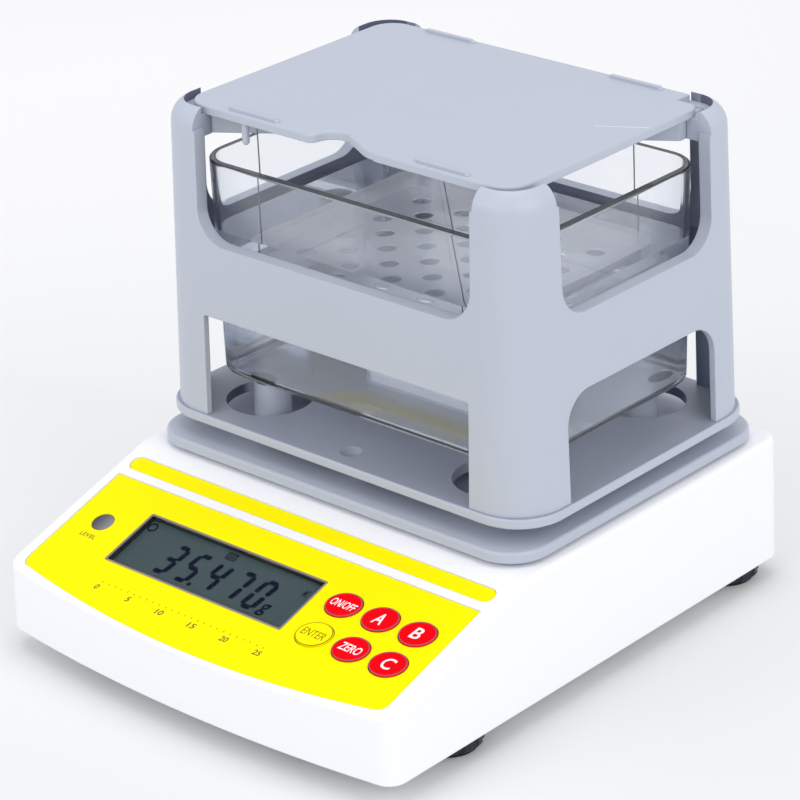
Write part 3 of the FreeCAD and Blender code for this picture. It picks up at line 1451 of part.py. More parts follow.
def check_all():
    """Stop if any step of the model failed."""
    faults = []
    for item in doc.Objects:
        for word in item.State:
            if word in ("Invalid", "Error"):
                faults.append("%s is %s" % (item.Name, word.lower()))
    for item in made:
        shape = item.Shape
        if shape.isNull() or not shape.isValid() or not shape.Solids:
            faults.append(item.Label + " has no good solid")
    if faults:
        raise RuntimeError("; ".join(faults))


def export_all():
    os.makedirs("parts", exist_ok=True)
    for item in made:
        item.Shape.exportStep("parts/" + item.Label + ".step")
        box = item.Shape.BoundBox
        print("%-24s %3d solid(s)  x %8.2f %8.2f  y %8.2f %8.2f  z %7.2f %7.2f  %9.1f mm3" % (
            item.Label, len(item.Shape.Solids), box.XMin, box.XMax, box.YMin, box.YMax,
            box.ZMin, box.ZMax, item.Shape.Volume))
    print("nodes", len(made))


build_all()
check_all()
export_all()
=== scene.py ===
# %% [markdown]
# # Electronic gold tester
# A counter balance that weighs a piece of gold twice: in air, on a loose plate at the top, and in
# water, in a tray that hangs under that plate. The solid model already holds every moulded part,
# screw and wire in its place. This notebook gives each of them its finish, prints the keys, draws
# the digits of the display, adds a few fine forms to the plate, fills the tank with water and
# lights the table.

# %% Load the solid model
import json
import math

import bpy
from mathutils import Matrix, Vector


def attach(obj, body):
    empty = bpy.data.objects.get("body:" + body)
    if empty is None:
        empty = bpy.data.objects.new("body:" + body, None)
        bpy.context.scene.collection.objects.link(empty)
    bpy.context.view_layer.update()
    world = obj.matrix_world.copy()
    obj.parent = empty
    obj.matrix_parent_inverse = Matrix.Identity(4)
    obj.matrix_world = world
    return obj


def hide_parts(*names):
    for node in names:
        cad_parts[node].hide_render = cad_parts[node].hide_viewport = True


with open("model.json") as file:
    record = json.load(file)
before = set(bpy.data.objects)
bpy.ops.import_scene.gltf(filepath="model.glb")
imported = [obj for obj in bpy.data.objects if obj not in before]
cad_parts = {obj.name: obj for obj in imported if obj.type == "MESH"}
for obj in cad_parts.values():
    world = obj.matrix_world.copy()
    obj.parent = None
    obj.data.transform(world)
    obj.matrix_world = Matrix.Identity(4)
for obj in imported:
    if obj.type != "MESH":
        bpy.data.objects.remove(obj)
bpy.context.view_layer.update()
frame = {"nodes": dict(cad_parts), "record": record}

MM = 0.001

# %% [markdown]
# ## The camera
# A product view like this one is made with a long lens from the front right, so that upright
# edges stay nearly parallel. A camera could be dragged into place by hand. Here it is set by the
# point it aims at, two angles, a small roll and a distance, so that each can be changed alone.
# The point is the middle of the tower, at the height of the loose plate's underside.

# %% Camera
TOWER_Y = 37.25
PLATE_UNDER = 189.0
LENS_MM = 153.19
SENSOR_MM = 36.0
NEAREST, FARTHEST = 0.05, 30.0
AIM = Vector((0.0, TOWER_Y, PLATE_UNDER)) * MM
AZIMUTH = math.radians(42.559)
ELEVATION = math.radians(24.6448)
ROLL = math.radians(-2.2187)
DISTANCE = 1223.79 * MM
ASIDE = 16.56 * MM
BELOW = 105.0 * MM


def place_camera():
    """The camera at its distance from the aim, turned, rolled and moved aside."""
    ahead = Vector((-math.sin(AZIMUTH) * math.cos(ELEVATION),
                    math.cos(AZIMUTH) * math.cos(ELEVATION), -math.sin(ELEVATION)))
    level = Vector((math.cos(AZIMUTH), math.sin(AZIMUTH), 0.0))
    tall = level.cross(ahead)
    right = level * math.cos(ROLL) + tall * math.sin(ROLL)
    up = tall * math.cos(ROLL) - level * math.sin(ROLL)
    eye = AIM - ahead * DISTANCE - right * ASIDE - up * BELOW
    data = bpy.data.cameras.new("camera")
    data.sensor_width = SENSOR_MM
    data.lens = LENS_MM
    data.clip_start = NEAREST
    data.clip_end = FARTHEST
    camera = bpy.data.objects.new("camera", data)
    bpy.context.scene.collection.objects.link(camera)
    turn = Matrix((right, up, -ahead)).transposed().to_4x4()
    turn.translation = eye
    camera.matrix_world = turn
    bpy.context.scene.camera = camera
    return camera


print("camera at", [round(v, 3) for v in place_camera().matrix_world.translation])

# %% [markdown]
# ## Colours
# Colours are written as they are seen on a screen, 0 to 255. Shaders work with the amount of
# light instead, so one small function turns the first into the second. The standard for screens
# makes that a straight line for the darkest values and a curve for all the others.

# %% Colours
SCREEN_FULL = 255.0
DARK_LIMIT, DARK_SHARE = 0.04045, 12.92
CURVE_OFFSET, CURVE_POWER = 0.055, 2.4


def linear(red, green, blue):
    """A colour as seen on a screen, 0 to 255, turned into the values that shaders use."""
    out = []
    for part in (red, green, blue):
        part = part / SCREEN_FULL
        if part <= DARK_LIMIT:
            out.append(part / DARK_SHARE)
        else:
            out.append(((part + CURVE_OFFSET) / (1 + CURVE_OFFSET)) ** CURVE_POWER)
    return (*out, 1.0)


print("mid grey", [round(v, 3) for v in linear(128, 128, 128)[:3]])

# %% [markdown]
# ## The table
# The table is one large sheet of pale paper that runs out far behind the balance, as in a
# studio. It is a little darker towards the front right, where less light reaches it. A lamp
# could give that, but it would change the light on the balance too, so the gradient is part of
# the paper. It is read from the sheet's own coordinates, so it stays put whatever the view, and
# grows along one level direction, away from the dark side, between a near and a far distance.

# %% Table
TABLE_FRONT = linear(229, 231, 230)
TABLE_BACK = linear(250, 249, 250)
TABLE_NEAR = -0.15
TABLE_FAR = 0.65
AWAY = (-0.88, 0.47, 0.0)
TABLE_HALF = 4.0
PAPER_ROUGHNESS = 0.9


def make_table():
    """The sheet under the balance, with its gradient."""
    half = TABLE_HALF
    mesh = bpy.data.meshes.new("table")
    corners = [(-half, -half, 0), (half, -half, 0), (half, half, 0), (-half, half, 0)]
    mesh.from_pydata(corners, [], [(0, 1, 2, 3)])
    table = bpy.data.objects.new("table", mesh)
    bpy.context.scene.collection.objects.link(table)
    paper = bpy.data.materials.new("table paper")
    paper.use_nodes = True
    tree = paper.node_tree
    shader = tree.nodes["Principled BSDF"]
    shader.inputs["Roughness"].default_value = PAPER_ROUGHNESS
    shader.inputs["Specular IOR Level"].default_value = 0.0
    place = tree.nodes.new("ShaderNodeTexCoord")
    along = tree.nodes.new("ShaderNodeVectorMath")
    along.operation = "DOT_PRODUCT"
    along.inputs[1].default_value = AWAY
    reach = tree.nodes.new("ShaderNodeMapRange")
    reach.inputs["From Min"].default_value = TABLE_NEAR
    reach.inputs["From Max"].default_value = TABLE_FAR
    blend = tree.nodes.new("ShaderNodeMix")
    blend.data_type = "RGBA"
    colour_in = [s for s in blend.inputs if s.type == "RGBA"]
    colour_in[0].default_value = TABLE_FRONT
    colour_in[1].default_value = TABLE_BACK
    colour_out = [s for s in blend.outputs if s.type == "RGBA"][0]
    tree.links.new(place.outputs["Object"], along.inputs[0])
    tree.links.new(along.outputs["Value"], reach.inputs["Value"])
    tree.links.new(reach.outputs["Result"], blend.inputs["Factor"])
    tree.links.new(colour_out, shader.inputs["Base Color"])
    mesh.materials.append(paper)
    return table


print("table", [round(v, 2) for v in make_table().dimensions])

# %% [markdown]
# ## World and lamps
# Most of the light comes evenly from all round, so that a colour comes out about as it is
# written. Three soft boxes, on both sides and overhead, add the gentle difference between the
# top, the front and the right side that lets the shape be read. Two narrow strips give the
# bright streaks on the tank's rounded corners and the tops of the pillars.

# %% World and lamps
WORLD_COLOUR = (0.95, 0.96, 0.985, 1.0)
WORLD_STRENGTH = 0.80
LAMP_WHITE = (1.0, 1.0, 1.0)
LAMP_AIM = Vector((0.0, 0.0, 0.1))
LAMPS = {
    "right box": {"place": (1.5, -0.3, 0.9), "width": 0.9, "height": 1.0, "watts": 6.0},
    "front box": {"place": (-0.7, -1.5, 1.0), "width": 0.9, "height": 0.8, "watts": 5.2,
                  "colour": (0.98, 0.97, 1.0)},
    "top box": {"place": (-0.1, 0.1, 1.8), "width": 1.2, "height": 1.0, "watts": 5.6},
    "right strip": {"place": (1.25, 0.35, 0.85), "width": 0.07, "height": 1.1, "watts": 1.6},
    "front strip": {"place": (0.25, -1.35, 0.95), "width": 0.07, "height": 1.1, "watts": 1.6},
}


def make_world():
    """The even light from all round."""
    world = bpy.data.worlds.new("studio")
    bpy.context.scene.world = world
    world.use_nodes = True
    paint = world.node_tree.nodes["Background"]
    paint.inputs["Color"].default_value = WORLD_COLOUR
    paint.inputs["Strength"].default_value = WORLD_STRENGTH
    return world


def soft_box(name, place, width, height, watts, colour=LAMP_WHITE):
    """A rectangular lamp that faces the middle of the balance."""
    data = bpy.data.lights.new(name, "AREA")
    data.shape = "RECTANGLE"
    data.size = width
    data.size_y = height
    data.energy = watts
    data.color = colour
    lamp = bpy.data.objects.new(name, data)
    bpy.context.scene.collection.objects.link(lamp)
    lamp.location = place
    toward = LAMP_AIM - Vector(place)
    lamp.rotation_euler = toward.to_track_quat("-Z", "Y").to_euler()
    return lamp


make_world()
for lamp, build in LAMPS.items():
    soft_box(lamp, **build)
bpy.context.scene.view_settings.view_transform = "Standard"
print("lamps", len(bpy.data.lights))

# %% [markdown]
# ## How many clear surfaces light may cross
# The tray hangs in the water and the water fills the tank, so light on its way through crosses a
# dozen clear surfaces and more. With Blender's usual limit it is stopped inside, and the tank
# looks smoky. A higher limit costs a little time and keeps it clear.

# %% Light paths
CLEAR_CROSSINGS = 32
light_paths = bpy.context.scene.cycles
light_paths.max_bounces = CLEAR_CROSSINGS
light_paths.transmission_bounces = CLEAR_CROSSINGS
light_paths.transparent_max_bounces = CLEAR_CROSSINGS
print("clear surfaces that light may cross", CLEAR_CROSSINGS)

# %% [markdown]
# ## Effects that several finishes share
# A moulded surface has a very fine grain, and its polish is never quite even. Each effect is a
# node group that is built once, with named inputs, and placed in every finish that needs it, so
# that a change to the group changes all of them.

# %% A node group to start from
def start_group(name, inputs, outputs):
    """An empty shader group with named inputs and outputs."""
    tree = bpy.data.node_groups.new(name, "ShaderNodeTree")
    for label, kind, value in inputs:
        socket = tree.interface.new_socket(label, in_out="INPUT", socket_type=kind)
        socket.default_value = value
    for label, kind in outputs:
        tree.interface.new_socket(label, in_out="OUTPUT", socket_type=kind)
    enter = tree.nodes.new("NodeGroupInput")
    leave = tree.nodes.new("NodeGroupOutput")
    return tree, enter, leave


def sum_node(tree, operation, second=None):
    """A Math node, with its second number where that is fixed."""
    node = tree.nodes.new("ShaderNodeMath")
    node.operation = operation
    if second is not None:
        node.inputs[1].default_value = second
    return node


# %% [markdown]
# ## Grain of a mould
# A steel mould is blasted or polished, and leaves its grain on the plastic. Its edges are never
# quite sharp either. Real rounds on every edge would need many faces, so a Bevel node bends the
# light at the edges as a small round would, and a noise adds the grain.

# %% Moulded grain
GRAIN_SCALE = 1800.0
GRAIN_DETAIL = 2.0
GRAIN_HEIGHT = 0.2 * MM
EDGE_RADIUS = 0.5 * MM
EDGE_SAMPLES = 4


def moulded_grain():
    """Fine grain and slightly softened edges of a moulded surface, as a normal."""
    tree, enter, leave = start_group(
        "moulded grain",
        [("Scale", "NodeSocketFloat", GRAIN_SCALE), ("Depth", "NodeSocketFloat", 0.05),
         ("Edge Radius", "NodeSocketFloat", EDGE_RADIUS)],
        [("Normal", "NodeSocketVector")])
    place = tree.nodes.new("ShaderNodeTexCoord")
    noise = tree.nodes.new("ShaderNodeTexNoise")
    noise.inputs["Detail"].default_value = GRAIN_DETAIL
    bump = tree.nodes.new("ShaderNodeBump")
    bump.inputs["Distance"].default_value = GRAIN_HEIGHT
    edge = tree.nodes.new("ShaderNodeBevel")
    edge.samples = EDGE_SAMPLES
    tree.links.new(enter.outputs["Edge Radius"], edge.inputs["Radius"])
    tree.links.new(edge.outputs["Normal"], bump.inputs["Normal"])
    tree.links.new(place.outputs["Object"], noise.inputs["Vector"])
    tree.links.new(enter.outputs["Scale"], noise.inputs["Scale"])
    tree.links.new(noise.outputs["Fac"], bump.inputs["Height"])
    tree.links.new(enter.outputs["Depth"], bump.inputs["Strength"])
    tree.links.new(bump.outputs["Normal"], leave.inputs["Normal"])
    return tree


GRAIN = moulded_grain()
print(GRAIN.name, len(GRAIN.nodes), "nodes")

# %% [markdown]
# ## Polish of a used surface
# Fingers and cloths polish a surface here and dull it there. One broad noise lets the colour
# drift by a few parts in a hundred, and a finer one does the same to the roughness. Both swing
# evenly about the finish's own value, so the finish still looks as it was chosen. An image of
# smudges could do this too, but noise needs no image and shows no seam.

# %% Handled polish
BROAD_SCALE, BROAD_DETAIL = 22.0, 4.0
FINE_SCALE, FINE_DETAIL = 140.0, 3.0
NOISE_MIDDLE = 0.5


def handled_polish():
    """Polish that is a little uneven from handling, as a roughness and a faint colour drift."""
    tree, enter, leave = start_group(
        "handled polish",
        [("Colour", "NodeSocketColor", (0.8, 0.8, 0.8, 1.0)),
         ("Drift", "NodeSocketFloat", 0.04),
         ("Roughness", "NodeSocketFloat", 0.4),
         ("Unevenness", "NodeSocketFloat", 0.1)],
        [("Colour", "NodeSocketColor"), ("Roughness", "NodeSocketFloat")])
    links = tree.links
    place = tree.nodes.new("ShaderNodeTexCoord")
    broad = tree.nodes.new("ShaderNodeTexNoise")
    broad.inputs["Scale"].default_value = BROAD_SCALE
    broad.inputs["Detail"].default_value = BROAD_DETAIL
    fine = tree.nodes.new("ShaderNodeTexNoise")
    fine.inputs["Scale"].default_value = FINE_SCALE
    fine.inputs["Detail"].default_value = FINE_DETAIL
    links.new(place.outputs["Object"], broad.inputs["Vector"])
    links.new(place.outputs["Object"], fine.inputs["Vector"])
    centre = sum_node(tree, "SUBTRACT", NOISE_MIDDLE)
    spread = sum_node(tree, "MULTIPLY")
    value = sum_node(tree, "ADD", 1.0)
    shade = tree.nodes.new("ShaderNodeHueSaturation")
    links.new(broad.outputs["Fac"], centre.inputs[0])
    links.new(centre.outputs["Value"], spread.inputs[0])
    links.new(enter.outputs["Drift"], spread.inputs[1])
    links.new(spread.outputs["Value"], value.inputs[0])
    links.new(value.outputs["Value"], shade.inputs["Value"])
    links.new(enter.outputs["Colour"], shade.inputs["Color"])
    links.new(shade.outputs["Color"], leave.inputs["Colour"])
    middle = sum_node(tree, "SUBTRACT", NOISE_MIDDLE)
    rough = sum_node(tree, "MULTIPLY_ADD")
    links.new(fine.outputs["Fac"], middle.inputs[0])
    links.new(middle.outputs["Value"], rough.inputs[0])
    links.new(enter.outputs["Unevenness"], rough.inputs[1])
    links.new(enter.outputs["Roughness"], rough.inputs[2])
    links.new(rough.outputs["Value"], leave.inputs["Roughness"])
    return tree


POLISH = handled_polish()
print(POLISH.name, len(POLISH.nodes), "nodes")

# %% [markdown]
# ## Shade inside the tower
# The tower's walls are one colour, but their inner sides get little light and look far darker
# than the outside. Even light from all round lets too much of it in, so an effect deepens the
# colour: it compares the way that a face looks with the way out from the tower's middle, and
# darkens faces that look inwards. Faces that look up can be darkened too, for what lies under
# something else. Each kind of face is picked by two limits, where the dark starts and is full.

# %% Inside shade
TOWER_MIDDLE = (0.0, TOWER_Y * MM, 0.0)
TOWER_STRETCH = (1.0, 1.2, 0.0)
INWARD_STARTS, INWARD_FULL = -0.64, -0.76
UPWARD_STARTS, UPWARD_FULL = 0.9, 0.99


def inside_shade():
    """A darker colour on faces that look towards the tower's middle, or up."""
    tree, enter, leave = start_group(
        "inside shade",
        [("Colour", "NodeSocketColor", (0.5, 0.5, 0.5, 1.0)),
         ("Shade Colour", "NodeSocketColor", (0.1, 0.1, 0.15, 1.0)),
         ("Inward", "NodeSocketFloat", 1.0), ("Upward", "NodeSocketFloat", 0.0)],
        [("Colour", "NodeSocketColor")])
    links = tree.links
    place = tree.nodes.new("ShaderNodeTexCoord")
    away = tree.nodes.new("ShaderNodeVectorMath")
    away.operation = "SUBTRACT"
    away.inputs[1].default_value = TOWER_MIDDLE
    level = tree.nodes.new("ShaderNodeVectorMath")
    level.operation = "MULTIPLY"
    level.inputs[1].default_value = TOWER_STRETCH
    unit = tree.nodes.new("ShaderNodeVectorMath")
    unit.operation = "NORMALIZE"
    face = tree.nodes.new("ShaderNodeNewGeometry")
    facing = tree.nodes.new("ShaderNodeVectorMath")
    facing.operation = "DOT_PRODUCT"
    inward = tree.nodes.new("ShaderNodeMapRange")
    inward.inputs["From Min"].default_value = INWARD_STARTS
    inward.inputs["From Max"].default_value = INWARD_FULL
    axes = tree.nodes.new("ShaderNodeSeparateXYZ")
    upward = tree.nodes.new("ShaderNodeMapRange")
    upward.inputs["From Min"].default_value = UPWARD_STARTS
    upward.inputs["From Max"].default_value = UPWARD_FULL
    part_in = sum_node(tree, "MULTIPLY")
    part_up = sum_node(tree, "MULTIPLY")
    amount = sum_node(tree, "ADD")
    amount.use_clamp = True
    blend = tree.nodes.new("ShaderNodeMix")
    blend.data_type = "RGBA"
    colours = [s for s in blend.inputs if s.type == "RGBA"]
    mixed = [s for s in blend.outputs if s.type == "RGBA"][0]
    links.new(place.outputs["Object"], away.inputs[0])
    links.new(away.outputs["Vector"], level.inputs[0])
    links.new(level.outputs["Vector"], unit.inputs[0])
    links.new(unit.outputs["Vector"], facing.inputs[0])
    links.new(face.outputs["Normal"], facing.inputs[1])
    links.new(facing.outputs["Value"], inward.inputs["Value"])
    links.new(face.outputs["Normal"], axes.inputs["Vector"])
    links.new(axes.outputs["Z"], upward.inputs["Value"])
    links.new(inward.outputs["Result"], part_in.inputs[0])
    links.new(enter.outputs["Inward"], part_in.inputs[1])
    links.new(upward.outputs["Result"], part_up.inputs[0])
    links.new(enter.outputs["Upward"], part_up.inputs[1])
    links.new(part_in.outputs["Value"], amount.inputs[0])
    links.new(part_up.outputs["Value"], amount.inputs[1])
    links.new(amount.outputs["Value"], blend.inputs["Factor"])
    links.new(enter.outputs["Colour"], colours[0])
    links.new(enter.outputs["Shade Colour"], colours[1])
    links.new(mixed, leave.inputs["Colour"])
    return tree


SHADE = inside_shade()
print(SHADE.name, len(SHADE.nodes), "nodes")

# %% [markdown]
# ## An opaque finish and a clear one
# Every opaque finish has the same build, with other numbers: its colour and roughness, how far
# both drift, the grain, and how much it mirrors. A clear finish bends light. A lamp's rays are
# not followed through bent surfaces, so clear plastic would throw a far too dark shadow. Rays
# that look for a lamp pass straight through it instead, a little weaker each time, and what
# stands in the tank stays lit.

# %% An opaque finish
def finish(name, colour, roughness, drift=0.03, uneven=0.08, grain=None, depth=0.05,
           metal=0.0, specular=0.35, shade=None, inward=0.0, upward=0.0):
    """An opaque finish: its own colour and shine through the shared effects."""
    material = bpy.data.materials.new(name)
    material.use_nodes = True
    tree = material.node_tree
    shader = tree.nodes["Principled BSDF"]
    shader.inputs["Metallic"].default_value = metal
    shader.inputs["Specular IOR Level"].default_value = specular
    polish = tree.nodes.new("ShaderNodeGroup")
    polish.node_tree = POLISH
    polish.inputs["Colour"].default_value = colour
    polish.inputs["Drift"].default_value = drift
    polish.inputs["Roughness"].default_value = roughness
    polish.inputs["Unevenness"].default_value = uneven
    coloured = polish.outputs["Colour"]
    if shade is not None:
        deep = tree.nodes.new("ShaderNodeGroup")
        deep.node_tree = SHADE
        deep.inputs["Shade Colour"].default_value = shade
        deep.inputs["Inward"].default_value = inward
        deep.inputs["Upward"].default_value = upward
        tree.links.new(coloured, deep.inputs["Colour"])
        coloured = deep.outputs["Colour"]
    tree.links.new(coloured, shader.inputs["Base Color"])
    tree.links.new(polish.outputs["Roughness"], shader.inputs["Roughness"])
    if grain is not None:
        rough = tree.nodes.new("ShaderNodeGroup")
        rough.node_tree = GRAIN
        rough.inputs["Scale"].default_value = grain
        rough.inputs["Depth"].default_value = depth
        tree.links.new(rough.outputs["Normal"], shader.inputs["Normal"])
    return material


# %% A clear finish
def clear_finish(name, colour, ior, roughness, clearness, shadow):
    """A clear finish: how far it bends light, how clear it is, and how much passes it."""
    material = bpy.data.materials.new(name)
    material.use_nodes = True
    tree = material.node_tree
    shader = tree.nodes["Principled BSDF"]
    shader.inputs["Base Color"].default_value = colour
    shader.inputs["Roughness"].default_value = roughness
    shader.inputs["IOR"].default_value = ior
    shader.inputs["Transmission Weight"].default_value = clearness
    through = tree.nodes.new("ShaderNodeBsdfTransparent")
    through.inputs["Color"].default_value = (shadow, shadow, shadow, 1.0)
    path = tree.nodes.new("ShaderNodeLightPath")
    mix = tree.nodes.new("ShaderNodeMixShader")
    output = tree.nodes["Material Output"]
    tree.links.new(path.outputs["Is Shadow Ray"], mix.inputs["Fac"])
    tree.links.new(shader.outputs["BSDF"], mix.inputs[1])
    tree.links.new(through.outputs["BSDF"], mix.inputs[2])
    tree.links.new(mix.outputs["Shader"], output.inputs["Surface"])
    return material


# %% [markdown]
# ## The moulded plastics
# The housing is white, the tower, its base and the plate are one cool grey, and the control
# sheet is a strong yellow with red keys. Inks and moulded colours have little gloss here, or the
# bright room would wash their colour out.

# %% Moulded plastics
SHEET_YELLOW = linear(255, 241, 0)
TOWER_MOULD = {"roughness": 0.38, "drift": 0.02, "uneven": 0.08, "grain": 2200, "depth": 0.05,
               "specular": 0.4}
PLASTICS = {
    "housing_white": finish("housing white", linear(246, 246, 249), roughness=0.5, drift=0.01,
                            uneven=0.06, grain=2600, depth=0.04, specular=0.2),
    "tower_grey": finish("tower grey", linear(182, 188, 202), **TOWER_MOULD),
    "panel_yellow": finish("panel yellow", SHEET_YELLOW, roughness=0.5, drift=0.01, uneven=0.05,
                           specular=0.05),
    "key_red": finish("key red", linear(248, 0, 18), roughness=0.5, drift=0.02, uneven=0.05,
                      specular=0.03),
    "key_yellow": finish("key yellow", SHEET_YELLOW, roughness=0.5, drift=0.01, uneven=0.05,
                         specular=0.05),
    "display_grey": finish("display grey", linear(56, 70, 73), roughness=0.45, drift=0.02,
                           uneven=0.05, specular=0.1),
    "holder_black": finish("holder black", linear(30, 31, 34), roughness=0.5, drift=0.04,
                           uneven=0.1, grain=1500, depth=0.1),
    "part_black": finish("part black", linear(34, 34, 37), roughness=0.5, drift=0.04,
                         uneven=0.1),
    "board_green": finish("board green", linear(24, 92, 52), roughness=0.35, drift=0.05,
                          uneven=0.1),
    "pad_rubber": finish("pad rubber", linear(32, 33, 36), roughness=0.8, drift=0.05,
                         uneven=0.1, grain=900, depth=0.2),
    "knob_black": finish("knob black", linear(34, 40, 50), roughness=0.35, drift=0.04,
                         uneven=0.1, grain=1500, depth=0.06),
}
print("plastics", len(PLASTICS))

# %% [markdown]
# ## The metals and the clear parts
# Screws, wires, studs and the load cell are bare metal. The tank, its tray and the display's
# pane are clear. The tray is milky, which is why its drain holes can be seen at all. The pane
# hardly bends light, so that the digits under it stay sharp.

# %% Metals and clear parts
METALS = {
    "aluminium": finish("milled aluminium", linear(205, 207, 211), roughness=0.32, drift=0.03,
                        uneven=0.15, metal=1.0),
    "screw_steel": finish("screw steel", linear(186, 188, 192), roughness=0.28, drift=0.03,
                          uneven=0.15, metal=1.0),
    "wire_steel": finish("wire steel", linear(128, 130, 138), roughness=0.35, drift=0.03,
                         uneven=0.1, metal=1.0),
    "insert_brass": finish("insert brass", linear(214, 178, 92), roughness=0.3, drift=0.04,
                           uneven=0.15, metal=1.0),
}
CLEARS = {
    "window_clear": clear_finish("window clear", linear(252, 253, 254), ior=1.1, roughness=0.0,
                                 clearness=1.0, shadow=0.97),
    "tray_clear": clear_finish("tray clear", linear(248, 250, 255), ior=1.3, roughness=0.03,
                               clearness=0.45, shadow=0.99),
    "tank_clear": clear_finish("tank clear", linear(250, 252, 255), ior=1.38, roughness=0.0,
                               clearness=0.97, shadow=0.99),
}
WATER = clear_finish("water", linear(246, 249, 255), ior=1.333, roughness=0.0, clearness=0.93,
                     shadow=0.99)
print("metals", len(METALS), "clears", len(CLEARS))

# %% [markdown]
# ## The bubble level's window
# The level sits in a small round well. Seen through its window, the side of the well away from
# the light is darker. A gradient across the window gives that without a second small model.

# %% Level window
LEVEL_X = -75.4
LEVEL_RADIUS = 4.5
LEVEL_DARK = linear(60, 58, 66)
LEVEL_MIDDLE = linear(92, 91, 98)
LEVEL_LIGHT = linear(140, 140, 148)
LEVEL_MIDDLE_AT = 0.35
LEVEL_ROUGHNESS, LEVEL_SPECULAR = 0.3, 0.2


def level_finish():
    """The level's grey, from dark on its left side to light on its right."""
    material = bpy.data.materials.new("level grey")
    material.use_nodes = True
    tree = material.node_tree
    shader = tree.nodes["Principled BSDF"]
    shader.inputs["Roughness"].default_value = LEVEL_ROUGHNESS
    shader.inputs["Specular IOR Level"].default_value = LEVEL_SPECULAR
    place = tree.nodes.new("ShaderNodeTexCoord")
    axes = tree.nodes.new("ShaderNodeSeparateXYZ")
    ramp = tree.nodes.new("ShaderNodeValToRGB")
    across = tree.nodes.new("ShaderNodeMapRange")
    across.inputs["From Min"].default_value = (LEVEL_X - LEVEL_RADIUS) * MM
    across.inputs["From Max"].default_value = (LEVEL_X + LEVEL_RADIUS) * MM
    ramp.color_ramp.elements[0].color = LEVEL_DARK
    ramp.color_ramp.elements[1].color = LEVEL_LIGHT
    middle = ramp.color_ramp.elements.new(LEVEL_MIDDLE_AT)
    middle.color = LEVEL_MIDDLE
    tree.links.new(place.outputs["Object"], axes.inputs["Vector"])
    tree.links.new(axes.outputs["X"], across.inputs["Value"])
    tree.links.new(across.outputs["Result"], ramp.inputs["Fac"])
    tree.links.new(ramp.outputs["Color"], shader.inputs["Base Color"])
    return material


FINISHES = {**PLASTICS, **METALS, **CLEARS, "level_clear": level_finish()}
print("finishes", len(FINISHES))

# %% [markdown]
# ## Each part gets its finish
# The solid model names a finish for every part. Three grey parts carry painted shade as well:
# the tower inside, its base inside and a little on top, and the bridge under the pan on top.
# The bridge's grey is lighter than the tower's, a painted highlight on its lit edges.

# %% Give the finishes
SHADE_GREY = linear(96, 102, 124)
TOWER_GREY = linear(184, 190, 204)
SHADED = {
    "tower_frame": finish("tower grey painted shade inside", TOWER_GREY, **TOWER_MOULD, shade=SHADE_GREY,
                          inward=1.0),
    "tower_base": finish("base grey painted shade", TOWER_GREY, **TOWER_MOULD, shade=SHADE_GREY, inward=1.0,
                         upward=0.4),
    # painted light and shade: a lighter grey than the tower's for its lit edges, painted shade on
    # its top faces
    "pan_support": finish("pan grey painted light and shade", linear(204, 209, 222), roughness=0.4, drift=0.02,
                          uneven=0.08, grain=2200, depth=0.05, specular=0.3,
                          shade=linear(84, 90, 110), upward=1.0),
}
slot_of = {part["node"]: part["material_slot"] for part in frame["record"]["subparts"]}
for node, piece in frame["nodes"].items():
    piece.data.materials.clear()
    piece.data.materials.append(SHADED.get(node, FINISHES[slot_of[node]]))
print("shaded parts", len(SHADED))

# %% [markdown]
# ## Working on the sloped face
# The control face slopes up to the back by 17.7 degrees. Points on it are given as x across, s
# up the slope and a height over the yellow sheet, all in millimetres. One helper turns them into
# places in the model, so that everything printed on the face can be thought of as lying flat.

# %% The sloped face
SLOPE = math.radians(17.7)
FACE_Y = -62.75
FACE_Z = 48.4
UP_SLOPE = Vector((0, math.cos(SLOPE), math.sin(SLOPE)))
OFF_FACE = Vector((0, -math.sin(SLOPE), math.cos(SLOPE)))


def on_face(x, s, height=0.0):
    """A place on the control face: given in millimetres, handed back in metres."""
    spot = Vector((x, FACE_Y, FACE_Z)) + UP_SLOPE * s + OFF_FACE * height
    return spot * MM


print("face origin", [round(v, 4) for v in on_face(0, 0)])

# %% [markdown]
# ## From a list of corners to a piece
# Flat shapes on the face are drawn as outlines and given two heights. A prism fills one outline,
# and a band lies between two of them. Several shapes can share one list and become one piece.
# Every piece then gets its finish and rides on a body, so that it moves with it.

# %% Pieces from corners
def put_in(name, mesh, material, body):
    """An object for a finished mesh, riding on a body."""
    mesh.materials.clear()
    mesh.materials.append(material)
    piece = bpy.data.objects.new(name, mesh)
    bpy.context.scene.collection.objects.link(piece)
    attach(piece, body)
    return piece


def new_piece(name, points, faces, material, body):
    """One piece from its corners, in metres, and its faces."""
    mesh = bpy.data.meshes.new(name)
    mesh.from_pydata([tuple(p) for p in points], [], faces)
    mesh.validate()
    return put_in(name, mesh, material, body)


def wall_faces(low, high):
    """Faces of the wall between two rings of corner numbers, looking outwards."""
    count = len(low)
    return [(low[k], low[(k + 1) % count], high[(k + 1) % count], high[k])
            for k in range(count)]


# %% Prisms and bands
def add_prism(points, faces, outline, low, high):
    """Adds a flat upright shape on the face to the lists: outline in x and s, two heights."""
    first = len(points)
    count = len(outline)
    for height in (low, high):
        for x, s in outline:
            points.append(on_face(x, s, height))
    bottom = range(first, first + count)
    top = range(first + count, first + 2 * count)
    faces.append(tuple(reversed(bottom)))
    faces.append(tuple(top))
    faces.extend(wall_faces(bottom, top))


